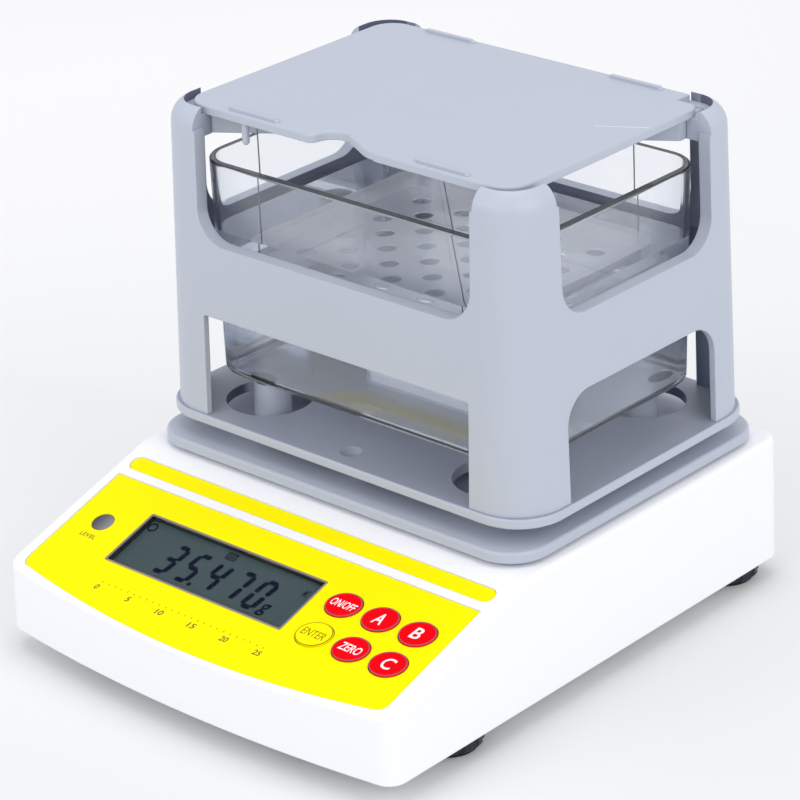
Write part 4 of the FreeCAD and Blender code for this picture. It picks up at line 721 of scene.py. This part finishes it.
def add_band(points, faces, outer, inner, low, high):
    """Adds a closed band between two outlines of as many corners."""
    first = len(points)
    count = len(outer)
    for height in (low, high):
        for ring in (outer, inner):
            for x, s in ring:
                points.append(on_face(x, s, height))
    o_low, i_low = first, first + count
    o_high, i_high = first + 2 * count, first + 3 * count
    for k in range(count):
        after = (k + 1) % count
        faces.append((o_high + k, o_high + after, i_high + after, i_high + k))
        faces.append((o_low + after, o_low + k, i_low + k, i_low + after))
        faces.append((o_low + k, o_low + after, o_high + after, o_high + k))
        faces.append((i_low + after, i_low + k, i_high + k, i_high + after))


# %% Outlines
def round_outline(x, s, radius, count):
    """Corners of a circle on the face."""
    out = []
    for k in range(count):
        angle = 2 * math.pi * k / count
        out.append((x + radius * math.cos(angle), s + radius * math.sin(angle)))
    return out


def box_outline(x0, x1, s0, s1, radius, count=6):
    """Corners of a rectangle with rounded corners."""
    out = []
    for cx, cs, start in ((x1 - radius, s1 - radius, 0), (x0 + radius, s1 - radius, 90),
                          (x0 + radius, s0 + radius, 180), (x1 - radius, s0 + radius, 270)):
        for k in range(count + 1):
            angle = math.radians(start + 90.0 * k / count)
            out.append((cx + radius * math.cos(angle), cs + radius * math.sin(angle)))
    return out


# %% [markdown]
# ## Geometry nodes on the face
# Printed lines that repeat are made with Geometry Nodes: the tree is drawn once, and each use
# sets its own sizes in millimetres. The result is turned into a plain mesh, and only then laid
# on the slope, because the export keeps meshes and not modifiers.

# %% The start and the end of a tree
def start_geometry(name, inputs):
    """An empty tree with named size inputs and one input for its finish."""
    tree = bpy.data.node_groups.new(name, "GeometryNodeTree")
    for label, kind, value in inputs:
        socket = tree.interface.new_socket(label, in_out="INPUT", socket_type=kind)
        socket.default_value = value
    tree.interface.new_socket("Ink", in_out="INPUT", socket_type="NodeSocketMaterial")
    tree.interface.new_socket("Geometry", in_out="OUTPUT", socket_type="NodeSocketGeometry")
    enter = tree.nodes.new("NodeGroupInput")
    leave = tree.nodes.new("NodeGroupOutput")
    return tree, enter, leave


def end_geometry(tree, enter, leave, made):
    """Realize Instances, then Set Material, then out."""
    real = tree.nodes.new("GeometryNodeRealizeInstances")
    ink = tree.nodes.new("GeometryNodeSetMaterial")
    tree.links.new(made, real.inputs["Geometry"])
    tree.links.new(real.outputs["Geometry"], ink.inputs["Geometry"])
    tree.links.new(enter.outputs["Ink"], ink.inputs["Material"])
    tree.links.new(ink.outputs["Geometry"], leave.inputs["Geometry"])
    return tree


# %% From a tree to a piece
def grow(name, tree, settings, material, x, s, height, body):
    """Runs a tree with its own settings and lays the result on the face about x, s."""
    seed = bpy.data.objects.new(name + "_seed", bpy.data.meshes.new(name + "_seed"))
    bpy.context.scene.collection.objects.link(seed)
    modifier = seed.modifiers.new("grow", "NODES")
    modifier.node_group = tree
    for item in tree.interface.items_tree:
        if item.item_type != "SOCKET" or item.in_out != "INPUT":
            continue
        if item.name == "Ink":
            modifier[item.identifier] = material
        elif item.name in settings:
            modifier[item.identifier] = settings[item.name]
    ready = seed.evaluated_get(bpy.context.evaluated_depsgraph_get())
    mesh = bpy.data.meshes.new_from_object(ready)
    mesh.name = name
    bpy.data.objects.remove(seed)
    for vertex in mesh.vertices:
        vertex.co = on_face(x + vertex.co.x, s + vertex.co.y, height + vertex.co.z)
    return put_in(name, mesh, material, body)


# %% [markdown]
# ## A line round each key
# On the real panel each key is an oval blister in the sheet, and the print round it leaves a
# fine dark line. The line is an oval curve with a small flat profile run along it. The six keys
# share one tree, because only the ink and the line's width differ.

# %% Key line tree
OVAL_CORNERS = 72


def key_line_tree():
    """A flat line round an oval, turned on the sheet."""
    tree, enter, leave = start_geometry(
        "key line",
        [("Half Length", "NodeSocketFloat", 7.0), ("Half Width", "NodeSocketFloat", 5.7),
         ("Line Width", "NodeSocketFloat", 0.4), ("Line Height", "NodeSocketFloat", 0.3),
         ("Turn", "NodeSocketFloat", 0.0)])
    links = tree.links
    circle = tree.nodes.new("GeometryNodeCurvePrimitiveCircle")
    circle.inputs["Resolution"].default_value = OVAL_CORNERS
    circle.inputs["Radius"].default_value = 1.0
    size = tree.nodes.new("ShaderNodeCombineXYZ")
    stretch = tree.nodes.new("GeometryNodeTransform")
    angle = tree.nodes.new("ShaderNodeCombineXYZ")
    turned = tree.nodes.new("GeometryNodeTransform")
    profile = tree.nodes.new("GeometryNodeCurvePrimitiveQuadrilateral")
    sweep = tree.nodes.new("GeometryNodeCurveToMesh")
    links.new(enter.outputs["Half Length"], size.inputs["X"])
    links.new(enter.outputs["Half Width"], size.inputs["Y"])
    size.inputs["Z"].default_value = 1.0
    links.new(circle.outputs["Curve"], stretch.inputs["Geometry"])
    links.new(size.outputs["Vector"], stretch.inputs["Scale"])
    links.new(enter.outputs["Line Width"], profile.inputs["Width"])
    links.new(enter.outputs["Line Height"], profile.inputs["Height"])
    links.new(stretch.outputs["Geometry"], sweep.inputs["Curve"])
    links.new(profile.outputs["Curve"], sweep.inputs["Profile Curve"])
    links.new(sweep.outputs["Mesh"], turned.inputs["Geometry"])
    links.new(enter.outputs["Turn"], angle.inputs["Z"])
    links.new(angle.outputs["Vector"], turned.inputs["Rotation"])
    return end_geometry(tree, enter, leave, turned.outputs["Geometry"])


KEY_LINE = key_line_tree()
print(KEY_LINE.name, len(KEY_LINE.nodes), "nodes")

# %% [markdown]
# ## Keys and their words
# The word on a key is set as text, made a mesh, slanted, and laid just over the cap. Making it a
# mesh first means that it can follow the slope exactly and ride down with its key. The strokes
# of the white words are a little bolder than the font's, and those of the brown one finer.

# %% Words on the face
LETTER_STEPS = 4
INK_WHITE = finish("ink white", linear(252, 248, 250), roughness=0.5, drift=0.01, uneven=0.02,
                   specular=0.1)
INK_BROWN = finish("ink brown", linear(140, 112, 26), roughness=0.6, drift=0.02, uneven=0.02,
                   specular=0.05)
INK_GREY = finish("ink grey", linear(112, 100, 50), roughness=0.6, drift=0.02, uneven=0.02,
                  specular=0.05)
INK_LINE = finish("ink line", linear(150, 96, 110), roughness=0.6, drift=0.03, uneven=0.05,
                  specular=0.05)


def lettering(name, words, x, s, high, width, height, lean, material, body, thick=0.0):
    """Words laid on the face about x, s: letter height, overall width, lean and boldness."""
    data = bpy.data.curves.new(name, "FONT")
    data.body = words
    data.align_x = "CENTER"
    data.align_y = "CENTER"
    data.resolution_u = LETTER_STEPS
    data.offset = thick
    text = bpy.data.objects.new(name, data)
    bpy.context.scene.collection.objects.link(text)
    bpy.context.view_layer.update()
    mesh = bpy.data.meshes.new_from_object(text)
    bpy.data.objects.remove(text)
    xs = [v.co.x for v in mesh.vertices]
    ys = [v.co.y for v in mesh.vertices]
    wide = max(xs) - min(xs)
    tall = max(ys) - min(ys)
    mid_x = (max(xs) + min(xs)) / 2
    mid_y = (max(ys) + min(ys)) / 2
    for vertex in mesh.vertices:
        up = (vertex.co.y - mid_y) / tall * high
        across = (vertex.co.x - mid_x) / wide * width
        vertex.co = on_face(x + across + up * math.tan(lean), s + up, height)
    return put_in(name, mesh, material, body)


print("inks", [ink.name for ink in (INK_WHITE, INK_BROWN, INK_GREY, INK_LINE)])

# %% Keys
KEY_TURN = math.radians(15.0)
KEY_TOP = 0.6
KEY_LEAN = math.radians(9)
LEFT, MIDDLE, RIGHT = 41.25, 58.43, 75.61
UPPER, LOWER = -8.75, -25.02
KEYS = {  # the word, the key's column and row, the letters' height and the word's width
    "key_on_off": ("ON/OFF", LEFT, UPPER, 3.5, 10.8),
    "key_a": ("A", MIDDLE, UPPER, 5.4, 4.2),
    "key_b": ("B", RIGHT, UPPER, 5.4, 3.9),
    "key_enter": ("ENTER", LEFT, LOWER, 3.3, 10.2),
    "key_zero": ("ZERO", MIDDLE, LOWER, 3.7, 9.4),
    "key_c": ("C", RIGHT, LOWER, 5.4, 4.6),
}
RED_KEY = {"word": INK_WHITE, "line": INK_LINE, "slot": "key_red", "thick": 0.012, "wide": 0.4}
YELLOW_KEY = {"word": INK_BROWN, "line": INK_BROWN, "slot": "key_yellow", "thick": -0.004,
              "wide": 0.24}
WORD_LIFT = 0.03
LINE_SINK = 0.16
LINE_SIZES = {"Half Length": 6.94, "Half Width": 5.64, "Line Height": 0.36, "Turn": KEY_TURN}
for key, (word, x, s, high, width) in KEYS.items():
    look = YELLOW_KEY if key == "key_enter" else RED_KEY
    lettering(key + "_word", word, x, s, high, width, KEY_TOP + WORD_LIFT, KEY_LEAN,
              look["word"], key, look["thick"])
    grow(key + "_line", KEY_LINE, {**LINE_SIZES, "Line Width": look["wide"]}, look["line"],
         x, s, KEY_TOP - LINE_SINK, key)
print("keys", len(KEYS))

# %% [markdown]
# ## The display's digits
# A liquid crystal number is built from seven strokes. Each stroke is a flat bar with cut ends,
# and a number is the list of strokes that are switched on. The bars lie just over the crystal.
# A gap is left at both ends of a stroke, so that two that meet stay apart. A font of such
# numbers could be used too, but drawn strokes have exactly the slant and the gaps that are set.

# %% Strokes
INK_CRYSTAL = finish("crystal ink", linear(8, 15, 32), roughness=0.6, drift=0.03, uneven=0.03,
                     specular=0.0)
CRYSTAL_TOP = -2.5
INK_LOW = CRYSTAL_TOP + 0.01
INK_HIGH = CRYSTAL_TOP + 0.05
DIGIT_LEAN = math.radians(7.5)
DIGIT_WIDE = 7.3
DIGIT_TALL = 15.8
DIGIT_STROKE = 2.2
DIGIT_GAP = 0.45
STROKE_CUT = 0.45
STROKES = {"0": "abcdef", "3": "abcdg", "4": "bcfg", "5": "acdfg", "7": "abc"}


def stroke(points, faces, a, b, wide):
    """One bar from a to b with cut corners at its ends."""
    ax, ay = a
    bx, by = b
    run = math.hypot(bx - ax, by - ay)
    ux, uy = (bx - ax) / run, (by - ay) / run
    half = wide / 2
    blunt = half * STROKE_CUT
    outline = [(ax + uy * blunt, ay - ux * blunt),
               (ax + ux * blunt + uy * half, ay + uy * blunt - ux * half),
               (bx - ux * blunt + uy * half, by - uy * blunt - ux * half),
               (bx + uy * blunt, by - ux * blunt), (bx - uy * blunt, by + ux * blunt),
               (bx - ux * blunt - uy * half, by - uy * blunt + ux * half),
               (ax + ux * blunt - uy * half, ay + uy * blunt + ux * half),
               (ax - uy * blunt, ay + ux * blunt)]
    add_prism(points, faces, outline, INK_LOW, INK_HIGH)


# %% Digits
def digit(points, faces, number, left, low_s):
    """One seven-stroke number standing on low_s."""
    inset = DIGIT_STROKE / 2
    wide, tall = DIGIT_WIDE, DIGIT_TALL

    def at(u, v):
        """A place in the number's own slanted frame, laid on the face."""
        return (left + u + v * math.tan(DIGIT_LEAN), low_s + v)

    ends = {
        "a": ((inset, tall - inset), (wide - inset, tall - inset)),
        "g": ((inset, tall / 2), (wide - inset, tall / 2)),
        "d": ((inset, inset), (wide - inset, inset)),
        "b": ((wide - inset, tall / 2), (wide - inset, tall - inset)),
        "c": ((wide - inset, inset), (wide - inset, tall / 2)),
        "f": ((inset, tall / 2), (inset, tall - inset)),
        "e": ((inset, inset), (inset, tall / 2)),
    }
    for letter in STROKES[number]:
        (ua, va), (ub, vb) = ends[letter]
        run = math.hypot(ub - ua, vb - va)
        du, dv = (ub - ua) / run * DIGIT_GAP, (vb - va) / run * DIGIT_GAP
        stroke(points, faces, at(ua + du, va + dv), at(ub - du, vb - dv), DIGIT_STROKE)


print("strokes of a 3:", STROKES["3"])

# %% [markdown]
# ## What the display shows
# The display is given a plain reading with its point, a ring that says that the weight is
# steady, a small box with three bars, and two letters. The numbers and signs are one piece.

# %% Reading
READING = "35470"
READING_LEFT, READING_LOW, READING_STEP = -42.6, -24.0, 11.05
POINT_AT, POINT_RADIUS, POINT_CORNERS = (-22.6, -23.2), 0.95, 16
RING_AT, RING_OUTER, RING_INNER, RING_CORNERS = (-57.3, -5.8), 2.2, 1.5, 32
BOX_OUTER, BOX_OUTER_ROUND = (-19.8, -14.9, -6.9, -3.3), 0.3
BOX_INNER, BOX_INNER_ROUND = (-19.3, -15.4, -6.4, -3.8), 0.2
BAR_LEFTS, BAR_WIDE, BAR_LOW, BAR_HIGH = (-18.7, -17.6, -16.5), 0.55, -6.1, -4.1
BAR_ROUND = 0.1
SIGN_STEPS = 2
LETTERS = {  # the letter, its place x and s, its height and its width
    "display_unit": ("g", 12.6, -21.6, 6.2, 3.8),
    "display_mark": ("K", 22.3, -8.3, 3.4, 2.7),
}
LETTER_THICK = 0.02


def make_digits():
    """The reading and the signs on the crystal, as one piece."""
    points = []
    faces = []
    for k, number in enumerate(READING):
        digit(points, faces, number, READING_LEFT + READING_STEP * k, READING_LOW)
    add_prism(points, faces, round_outline(*POINT_AT, POINT_RADIUS, POINT_CORNERS), INK_LOW,
              INK_HIGH)
    add_band(points, faces, round_outline(*RING_AT, RING_OUTER, RING_CORNERS),
             round_outline(*RING_AT, RING_INNER, RING_CORNERS), INK_LOW, INK_HIGH)
    add_band(points, faces, box_outline(*BOX_OUTER, BOX_OUTER_ROUND, SIGN_STEPS),
             box_outline(*BOX_INNER, BOX_INNER_ROUND, SIGN_STEPS), INK_LOW, INK_HIGH)
    for left in BAR_LEFTS:
        bar = box_outline(left, left + BAR_WIDE, BAR_LOW, BAR_HIGH, BAR_ROUND, SIGN_STEPS)
        add_prism(points, faces, bar, INK_LOW, INK_HIGH)
    return new_piece("display_digits", points, faces, INK_CRYSTAL, "housing")


print("digit corners", len(make_digits().data.vertices))
for name, (letter, x, s, high, width) in LETTERS.items():
    lettering(name, letter, x, s, high, width, INK_HIGH, DIGIT_LEAN, INK_CRYSTAL, "housing",
              LETTER_THICK)

# %% [markdown]
# ## The display's well
# The crystal sits a little under the sheet, in a well whose walls are painted near black: a
# painted shade for the shadow that falls into it. A thin bevelled frame catches the light round
# its edge, and a clear pane closes it. This pane takes the place of the solid model's, which is
# the same slab without the frame's step.

# %% Display well
BEVEL = finish("window bevel", linear(150, 138, 122), roughness=0.45, drift=0.05, uneven=0.1,
               specular=0.2)
# painted shade: near black walls stand for the shadow inside the well
WELL_PAINTED_SHADE = finish("display well painted shade", linear(30, 36, 40), roughness=0.6, drift=0.05, uneven=0.1,
              specular=0.1)
FRAME = (-60.15, 27.85, -28.65, -1.6)
OUTER_ROUND, INNER_ROUND = 0.85, 0.4
WELL_WALL, BEVEL_WALL, PANE_INSET = 0.8, 0.7, 0.85
BEVEL_LOW, BEVEL_HIGH = -0.45, 0.12
PANE_LOW, PANE_HIGH = -0.9, -0.5


def frame_outline(inset, radius):
    """The display's outline, moved in by inset on all sides."""
    left, right, low, high = FRAME
    return box_outline(left + inset, right - inset, low + inset, high - inset, radius)


def make_frame(name, wall, low, high, material):
    """A band of the display's outline, between two heights."""
    points = []
    faces = []
    add_band(points, faces, frame_outline(0.0, OUTER_ROUND), frame_outline(wall, INNER_ROUND),
             low, high)
    return new_piece(name, points, faces, material, "housing")


def make_pane():
    """The clear pane in the frame."""
    points = []
    faces = []
    add_prism(points, faces, frame_outline(PANE_INSET, INNER_ROUND), PANE_LOW, PANE_HIGH)
    pane = new_piece("display_pane", points, faces, FINISHES["window_clear"], "housing")
    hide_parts("display_window")
    return pane


make_frame("display_well", WELL_WALL, CRYSTAL_TOP, BEVEL_LOW, WELL_PAINTED_SHADE)
make_frame("display_bevel", BEVEL_WALL, BEVEL_LOW, BEVEL_HIGH, BEVEL)
print("pane corners", len(make_pane().data.vertices))

# %% [markdown]
# ## Printing on the sheet
# The sheet carries small plain marks: a word by the bubble level and, under the display, a scale
# of plain numbers with ticks. The ticks are one bar repeated along a line by Geometry Nodes.

# %% Tick tree
def tick_tree():
    """One bar, repeated along a line."""
    tree, enter, leave = start_geometry(
        "scale ticks",
        [("Count", "NodeSocketInt", 10), ("Spacing", "NodeSocketFloat", 2.0),
         ("Tick Width", "NodeSocketFloat", 0.2), ("Tick Length", "NodeSocketFloat", 1.0),
         ("Thickness", "NodeSocketFloat", 0.03)])
    links = tree.links
    step = tree.nodes.new("ShaderNodeCombineXYZ")
    line = tree.nodes.new("GeometryNodeMeshLine")
    size = tree.nodes.new("ShaderNodeCombineXYZ")
    bar = tree.nodes.new("GeometryNodeMeshCube")
    place = tree.nodes.new("GeometryNodeInstanceOnPoints")
    links.new(enter.outputs["Spacing"], step.inputs["X"])
    links.new(enter.outputs["Count"], line.inputs["Count"])
    links.new(step.outputs["Vector"], line.inputs["Offset"])
    links.new(enter.outputs["Tick Width"], size.inputs["X"])
    links.new(enter.outputs["Tick Length"], size.inputs["Y"])
    links.new(enter.outputs["Thickness"], size.inputs["Z"])
    links.new(size.outputs["Vector"], bar.inputs["Size"])
    links.new(line.outputs["Mesh"], place.inputs["Points"])
    links.new(bar.outputs["Mesh"], place.inputs["Instance"])
    return end_geometry(tree, enter, leave, place.outputs["Instances"])


TICKS = tick_tree()
print(TICKS.name, len(TICKS.nodes), "nodes")

# %% Printing
PRINT_LIFT = 0.01
LEVEL_WORD_S, LEVEL_WORD_HIGH, LEVEL_WORD_WIDE, LEVEL_WORD_THICK = -21.5, 1.9, 7.6, 0.01
SCALE_LEFT = -52.0
SCALE_S = -41.0
SCALE_STEP = 16.0
SCALE_NUMBERS = (0, 5, 10, 15, 20, 25)
NUMBER_HIGH, NUMBER_WIDE, NUMBER_THICK = 2.5, 1.7, 0.02
TICKS_A_STEP = 5
TICK_SIZES = {"Count": TICKS_A_STEP * (len(SCALE_NUMBERS) - 1) + 1,
              "Spacing": SCALE_STEP / TICKS_A_STEP, "Tick Width": 0.22, "Tick Length": 0.9}
TICKS_RIGHT, TICKS_UP, TICKS_LIFT = 0.5, 2.9, 0.015
lettering("level_word", "LEVEL", LEVEL_X, LEVEL_WORD_S, LEVEL_WORD_HIGH, LEVEL_WORD_WIDE,
          PRINT_LIFT, KEY_LEAN, INK_GREY, "housing", LEVEL_WORD_THICK)
for k, number in enumerate(map(str, SCALE_NUMBERS)):
    lettering("scale_" + number, number, SCALE_LEFT + SCALE_STEP * k, SCALE_S, NUMBER_HIGH,
              NUMBER_WIDE * len(number), PRINT_LIFT, KEY_LEAN, INK_GREY, "housing",
              NUMBER_THICK)
grow("scale_ticks", TICKS, TICK_SIZES, INK_GREY, SCALE_LEFT + TICKS_RIGHT, SCALE_S + TICKS_UP,
     TICKS_LIFT, "housing")
print("scale numbers", len(SCALE_NUMBERS))

# %% [markdown]
# ## The rounded side of the finger notch
# The notch in the front of the plate lets a finger lift it. Its right side runs out in a long
# slant. The solid model cuts the notch square there, so a small block with softened edges fills
# the corner. It reaches into the plate, and lies a hair above it, so that no joint shows. Places
# on the plate are given from the tower's middle.

# %% Notch side
PLATE_TOP = 192.3
NOTCH_SIDE = [(-3.5, -47.6), (-1.9, -49.2), (2.2, -50.9), (6.2, -53.1), (9.4, -54.8),
              (12.4, -55.7), (16.6, -56.0), (20.0, -54.0), (19.0, -45.0), (-3.5, -45.0)]
NOTCH_INSIDE, NOTCH_ABOVE = 0.03, 0.015
NOTCH_SOFT = {"width": 0.7 * MM, "segments": 3, "limit_method": "ANGLE",
              "angle_limit": math.radians(60)}


def make_notch_side():
    """The block that fills the notch's right corner, with softened edges."""
    points = []
    for z in (PLATE_UNDER + NOTCH_INSIDE, PLATE_TOP + NOTCH_ABOVE):
        for x, y in NOTCH_SIDE:
            points.append(Vector((x, TOWER_Y + y, z)) * MM)
    count = len(NOTCH_SIDE)
    bottom, top = range(count), range(count, 2 * count)
    faces = [tuple(reversed(bottom)), tuple(top), *wall_faces(bottom, top)]
    block = new_piece("plate_notch_side", points, faces, FINISHES["tower_grey"], "platform")
    soft = block.modifiers.new("soft edges", "BEVEL")
    for setting, value in NOTCH_SOFT.items():
        setattr(soft, setting, value)
    return block


print("notch side corners", len(make_notch_side().data.vertices))

# %% [markdown]
# ## The line moulded in the plate
# A fine raised line runs across one corner of the loose plate, where two halves of its mould
# met. A bump in the finish could suggest it, but a real ridge keeps its edges from every side,
# so it is a thin bar laid on the plate's top. Its grey is lighter than the plate's: a painted
# highlight along the ridge.

# %% Mould line
LINE_FROM = Vector((60.35, 46.88, PLATE_TOP))
LINE_TO = Vector((76.9, 56.8, PLATE_TOP))
LINE_HALF, LINE_RISE, LINE_DEPTH = 0.16, 0.07, 0.05
LINE_TOP_SHARE = 0.5
# painted highlight: lighter than the plate's grey, for the light along the ridge
MOULD_LINE_HIGHLIGHT = finish("mould line painted highlight", linear(222, 228, 238), roughness=0.4, drift=0.01, uneven=0.05)


def make_mould_line():
    """A thin bar with a narrower top, sunk a little into the plate."""
    along = (LINE_TO - LINE_FROM).normalized()
    side = Vector((-along.y, along.x, 0.0)) * LINE_HALF
    rise = Vector((0, 0, LINE_RISE))
    sink = Vector((0, 0, -LINE_DEPTH))
    points = []
    for end in (LINE_FROM, LINE_TO):
        for offset in (side + sink, -side + sink, -side * LINE_TOP_SHARE + rise,
                       side * LINE_TOP_SHARE + rise):
            points.append((end + offset) * MM)
    count = len(points) // 2
    near, far = range(count), range(count, 2 * count)
    faces = [tuple(near), tuple(reversed(far)), *wall_faces(far, near)]
    return new_piece("plate_mould_line", points, faces, MOULD_LINE_HIGHLIGHT, "platform")


print("mould line painted highlight corners", len(make_mould_line().data.vertices))

# %% [markdown]
# ## Round ends of the ribs
# Each of the four ribs on the plate ends in a small round boss, where the pin that pushes the
# plate out of its mould stood. The bosses are as high as the ribs. Balls cut in half would do,
# but a stack of rings that closes in one point gives a closed dome of just this height.

# %% Rib bosses
RIB_TOP = 193.3
BOSS_RADIUS = 1.2
BOSS_SINK, BOSS_UNDER_RIB = 0.1, 0.01
BOSSES = [(-33.0, -53.5), (56.0, -53.5), (56.0, 53.5), (-33.0, 53.5)]


def add_dome(points, faces, x, y, low, high, radius, sides=24, steps=5):
    """Adds a closed dome, in millimetres, to the lists."""
    first = len(points)
    for step in range(steps):
        angle = math.pi / 2 * step / steps
        for k in range(sides):
            turn = 2 * math.pi * k / sides
            points.append(Vector((x + radius * math.cos(angle) * math.cos(turn),
                                  y + radius * math.cos(angle) * math.sin(turn),
                                  low + (high - low) * math.sin(angle))) * MM)
    top = len(points)
    points.append(Vector((x, y, high)) * MM)
    faces.append(tuple(reversed(range(first, first + sides))))
    for step in range(steps):
        for k in range(sides):
            after = (k + 1) % sides
            here = first + step * sides
            if step == steps - 1:
                faces.append((here + k, here + after, top))
            else:
                faces.append((here + k, here + after, here + sides + after, here + sides + k))


def make_bosses():
    """The four domes, as one piece."""
    points = []
    faces = []
    for x, y in BOSSES:
        add_dome(points, faces, x, TOWER_Y + y, PLATE_TOP - BOSS_SINK, RIB_TOP - BOSS_UNDER_RIB,
                 BOSS_RADIUS)
    return new_piece("rib_bosses", points, faces, FINISHES["tower_grey"], "platform")


print("boss corners", len(make_bosses().data.vertices))

# %% [markdown]
# ## Water
# The tank is filled to about two thirds of its height. The water is one closed body whose walls
# reach just into the tank's walls, so that no film of air is left between the two. Without that
# overlap, light would meet a mirror-like layer of air and the tank would look silvered. The
# tank's walls lean out towards the rim, so each ring of the water is measured at its own height.

# %% Water
WATER_TOP, WATER_MIDDLE = 142.4, 115.0
WATER_OVERLAP = 0.05
WATER_ROUND, WATER_ROUND_STEPS = 11.0, 10
TANK_RIM, TANK_FOOT, TANK_FLOOR = 169.7, 84.5, 87.5
TANK_HALF_WIDE, TANK_HALF_DEEP = 76.5, 54.5
TANK_TAPER, TANK_WALL = 1.5, 3.0


def tank_inside(z):
    """Half width and half depth of the tank's room at a height."""
    part = (TANK_RIM - z) / (TANK_RIM - TANK_FOOT)
    lost = TANK_TAPER * part + TANK_WALL
    return TANK_HALF_WIDE - lost, TANK_HALF_DEEP - lost


def make_water():
    """The water, as rings of corners from the tank's floor to its own top."""
    points = []
    rings = []
    for z in (TANK_FLOOR - WATER_OVERLAP, WATER_MIDDLE, WATER_TOP):
        half_x, half_y = (half + WATER_OVERLAP for half in tank_inside(z))
        first = len(points)
        for x, y in box_outline(-half_x, half_x, -half_y, half_y, WATER_ROUND,
                                WATER_ROUND_STEPS):
            points.append(Vector((x, y + TOWER_Y, z)) * MM)
        rings.append(range(first, len(points)))
    faces = [tuple(reversed(rings[0])), tuple(rings[-1])]
    for low, high in zip(rings, rings[1:]):
        faces.extend(wall_faces(low, high))
    return new_piece("water", points, faces, WATER, "tank")


print("water corners", len(make_water().data.vertices), "up to", WATER_TOP)
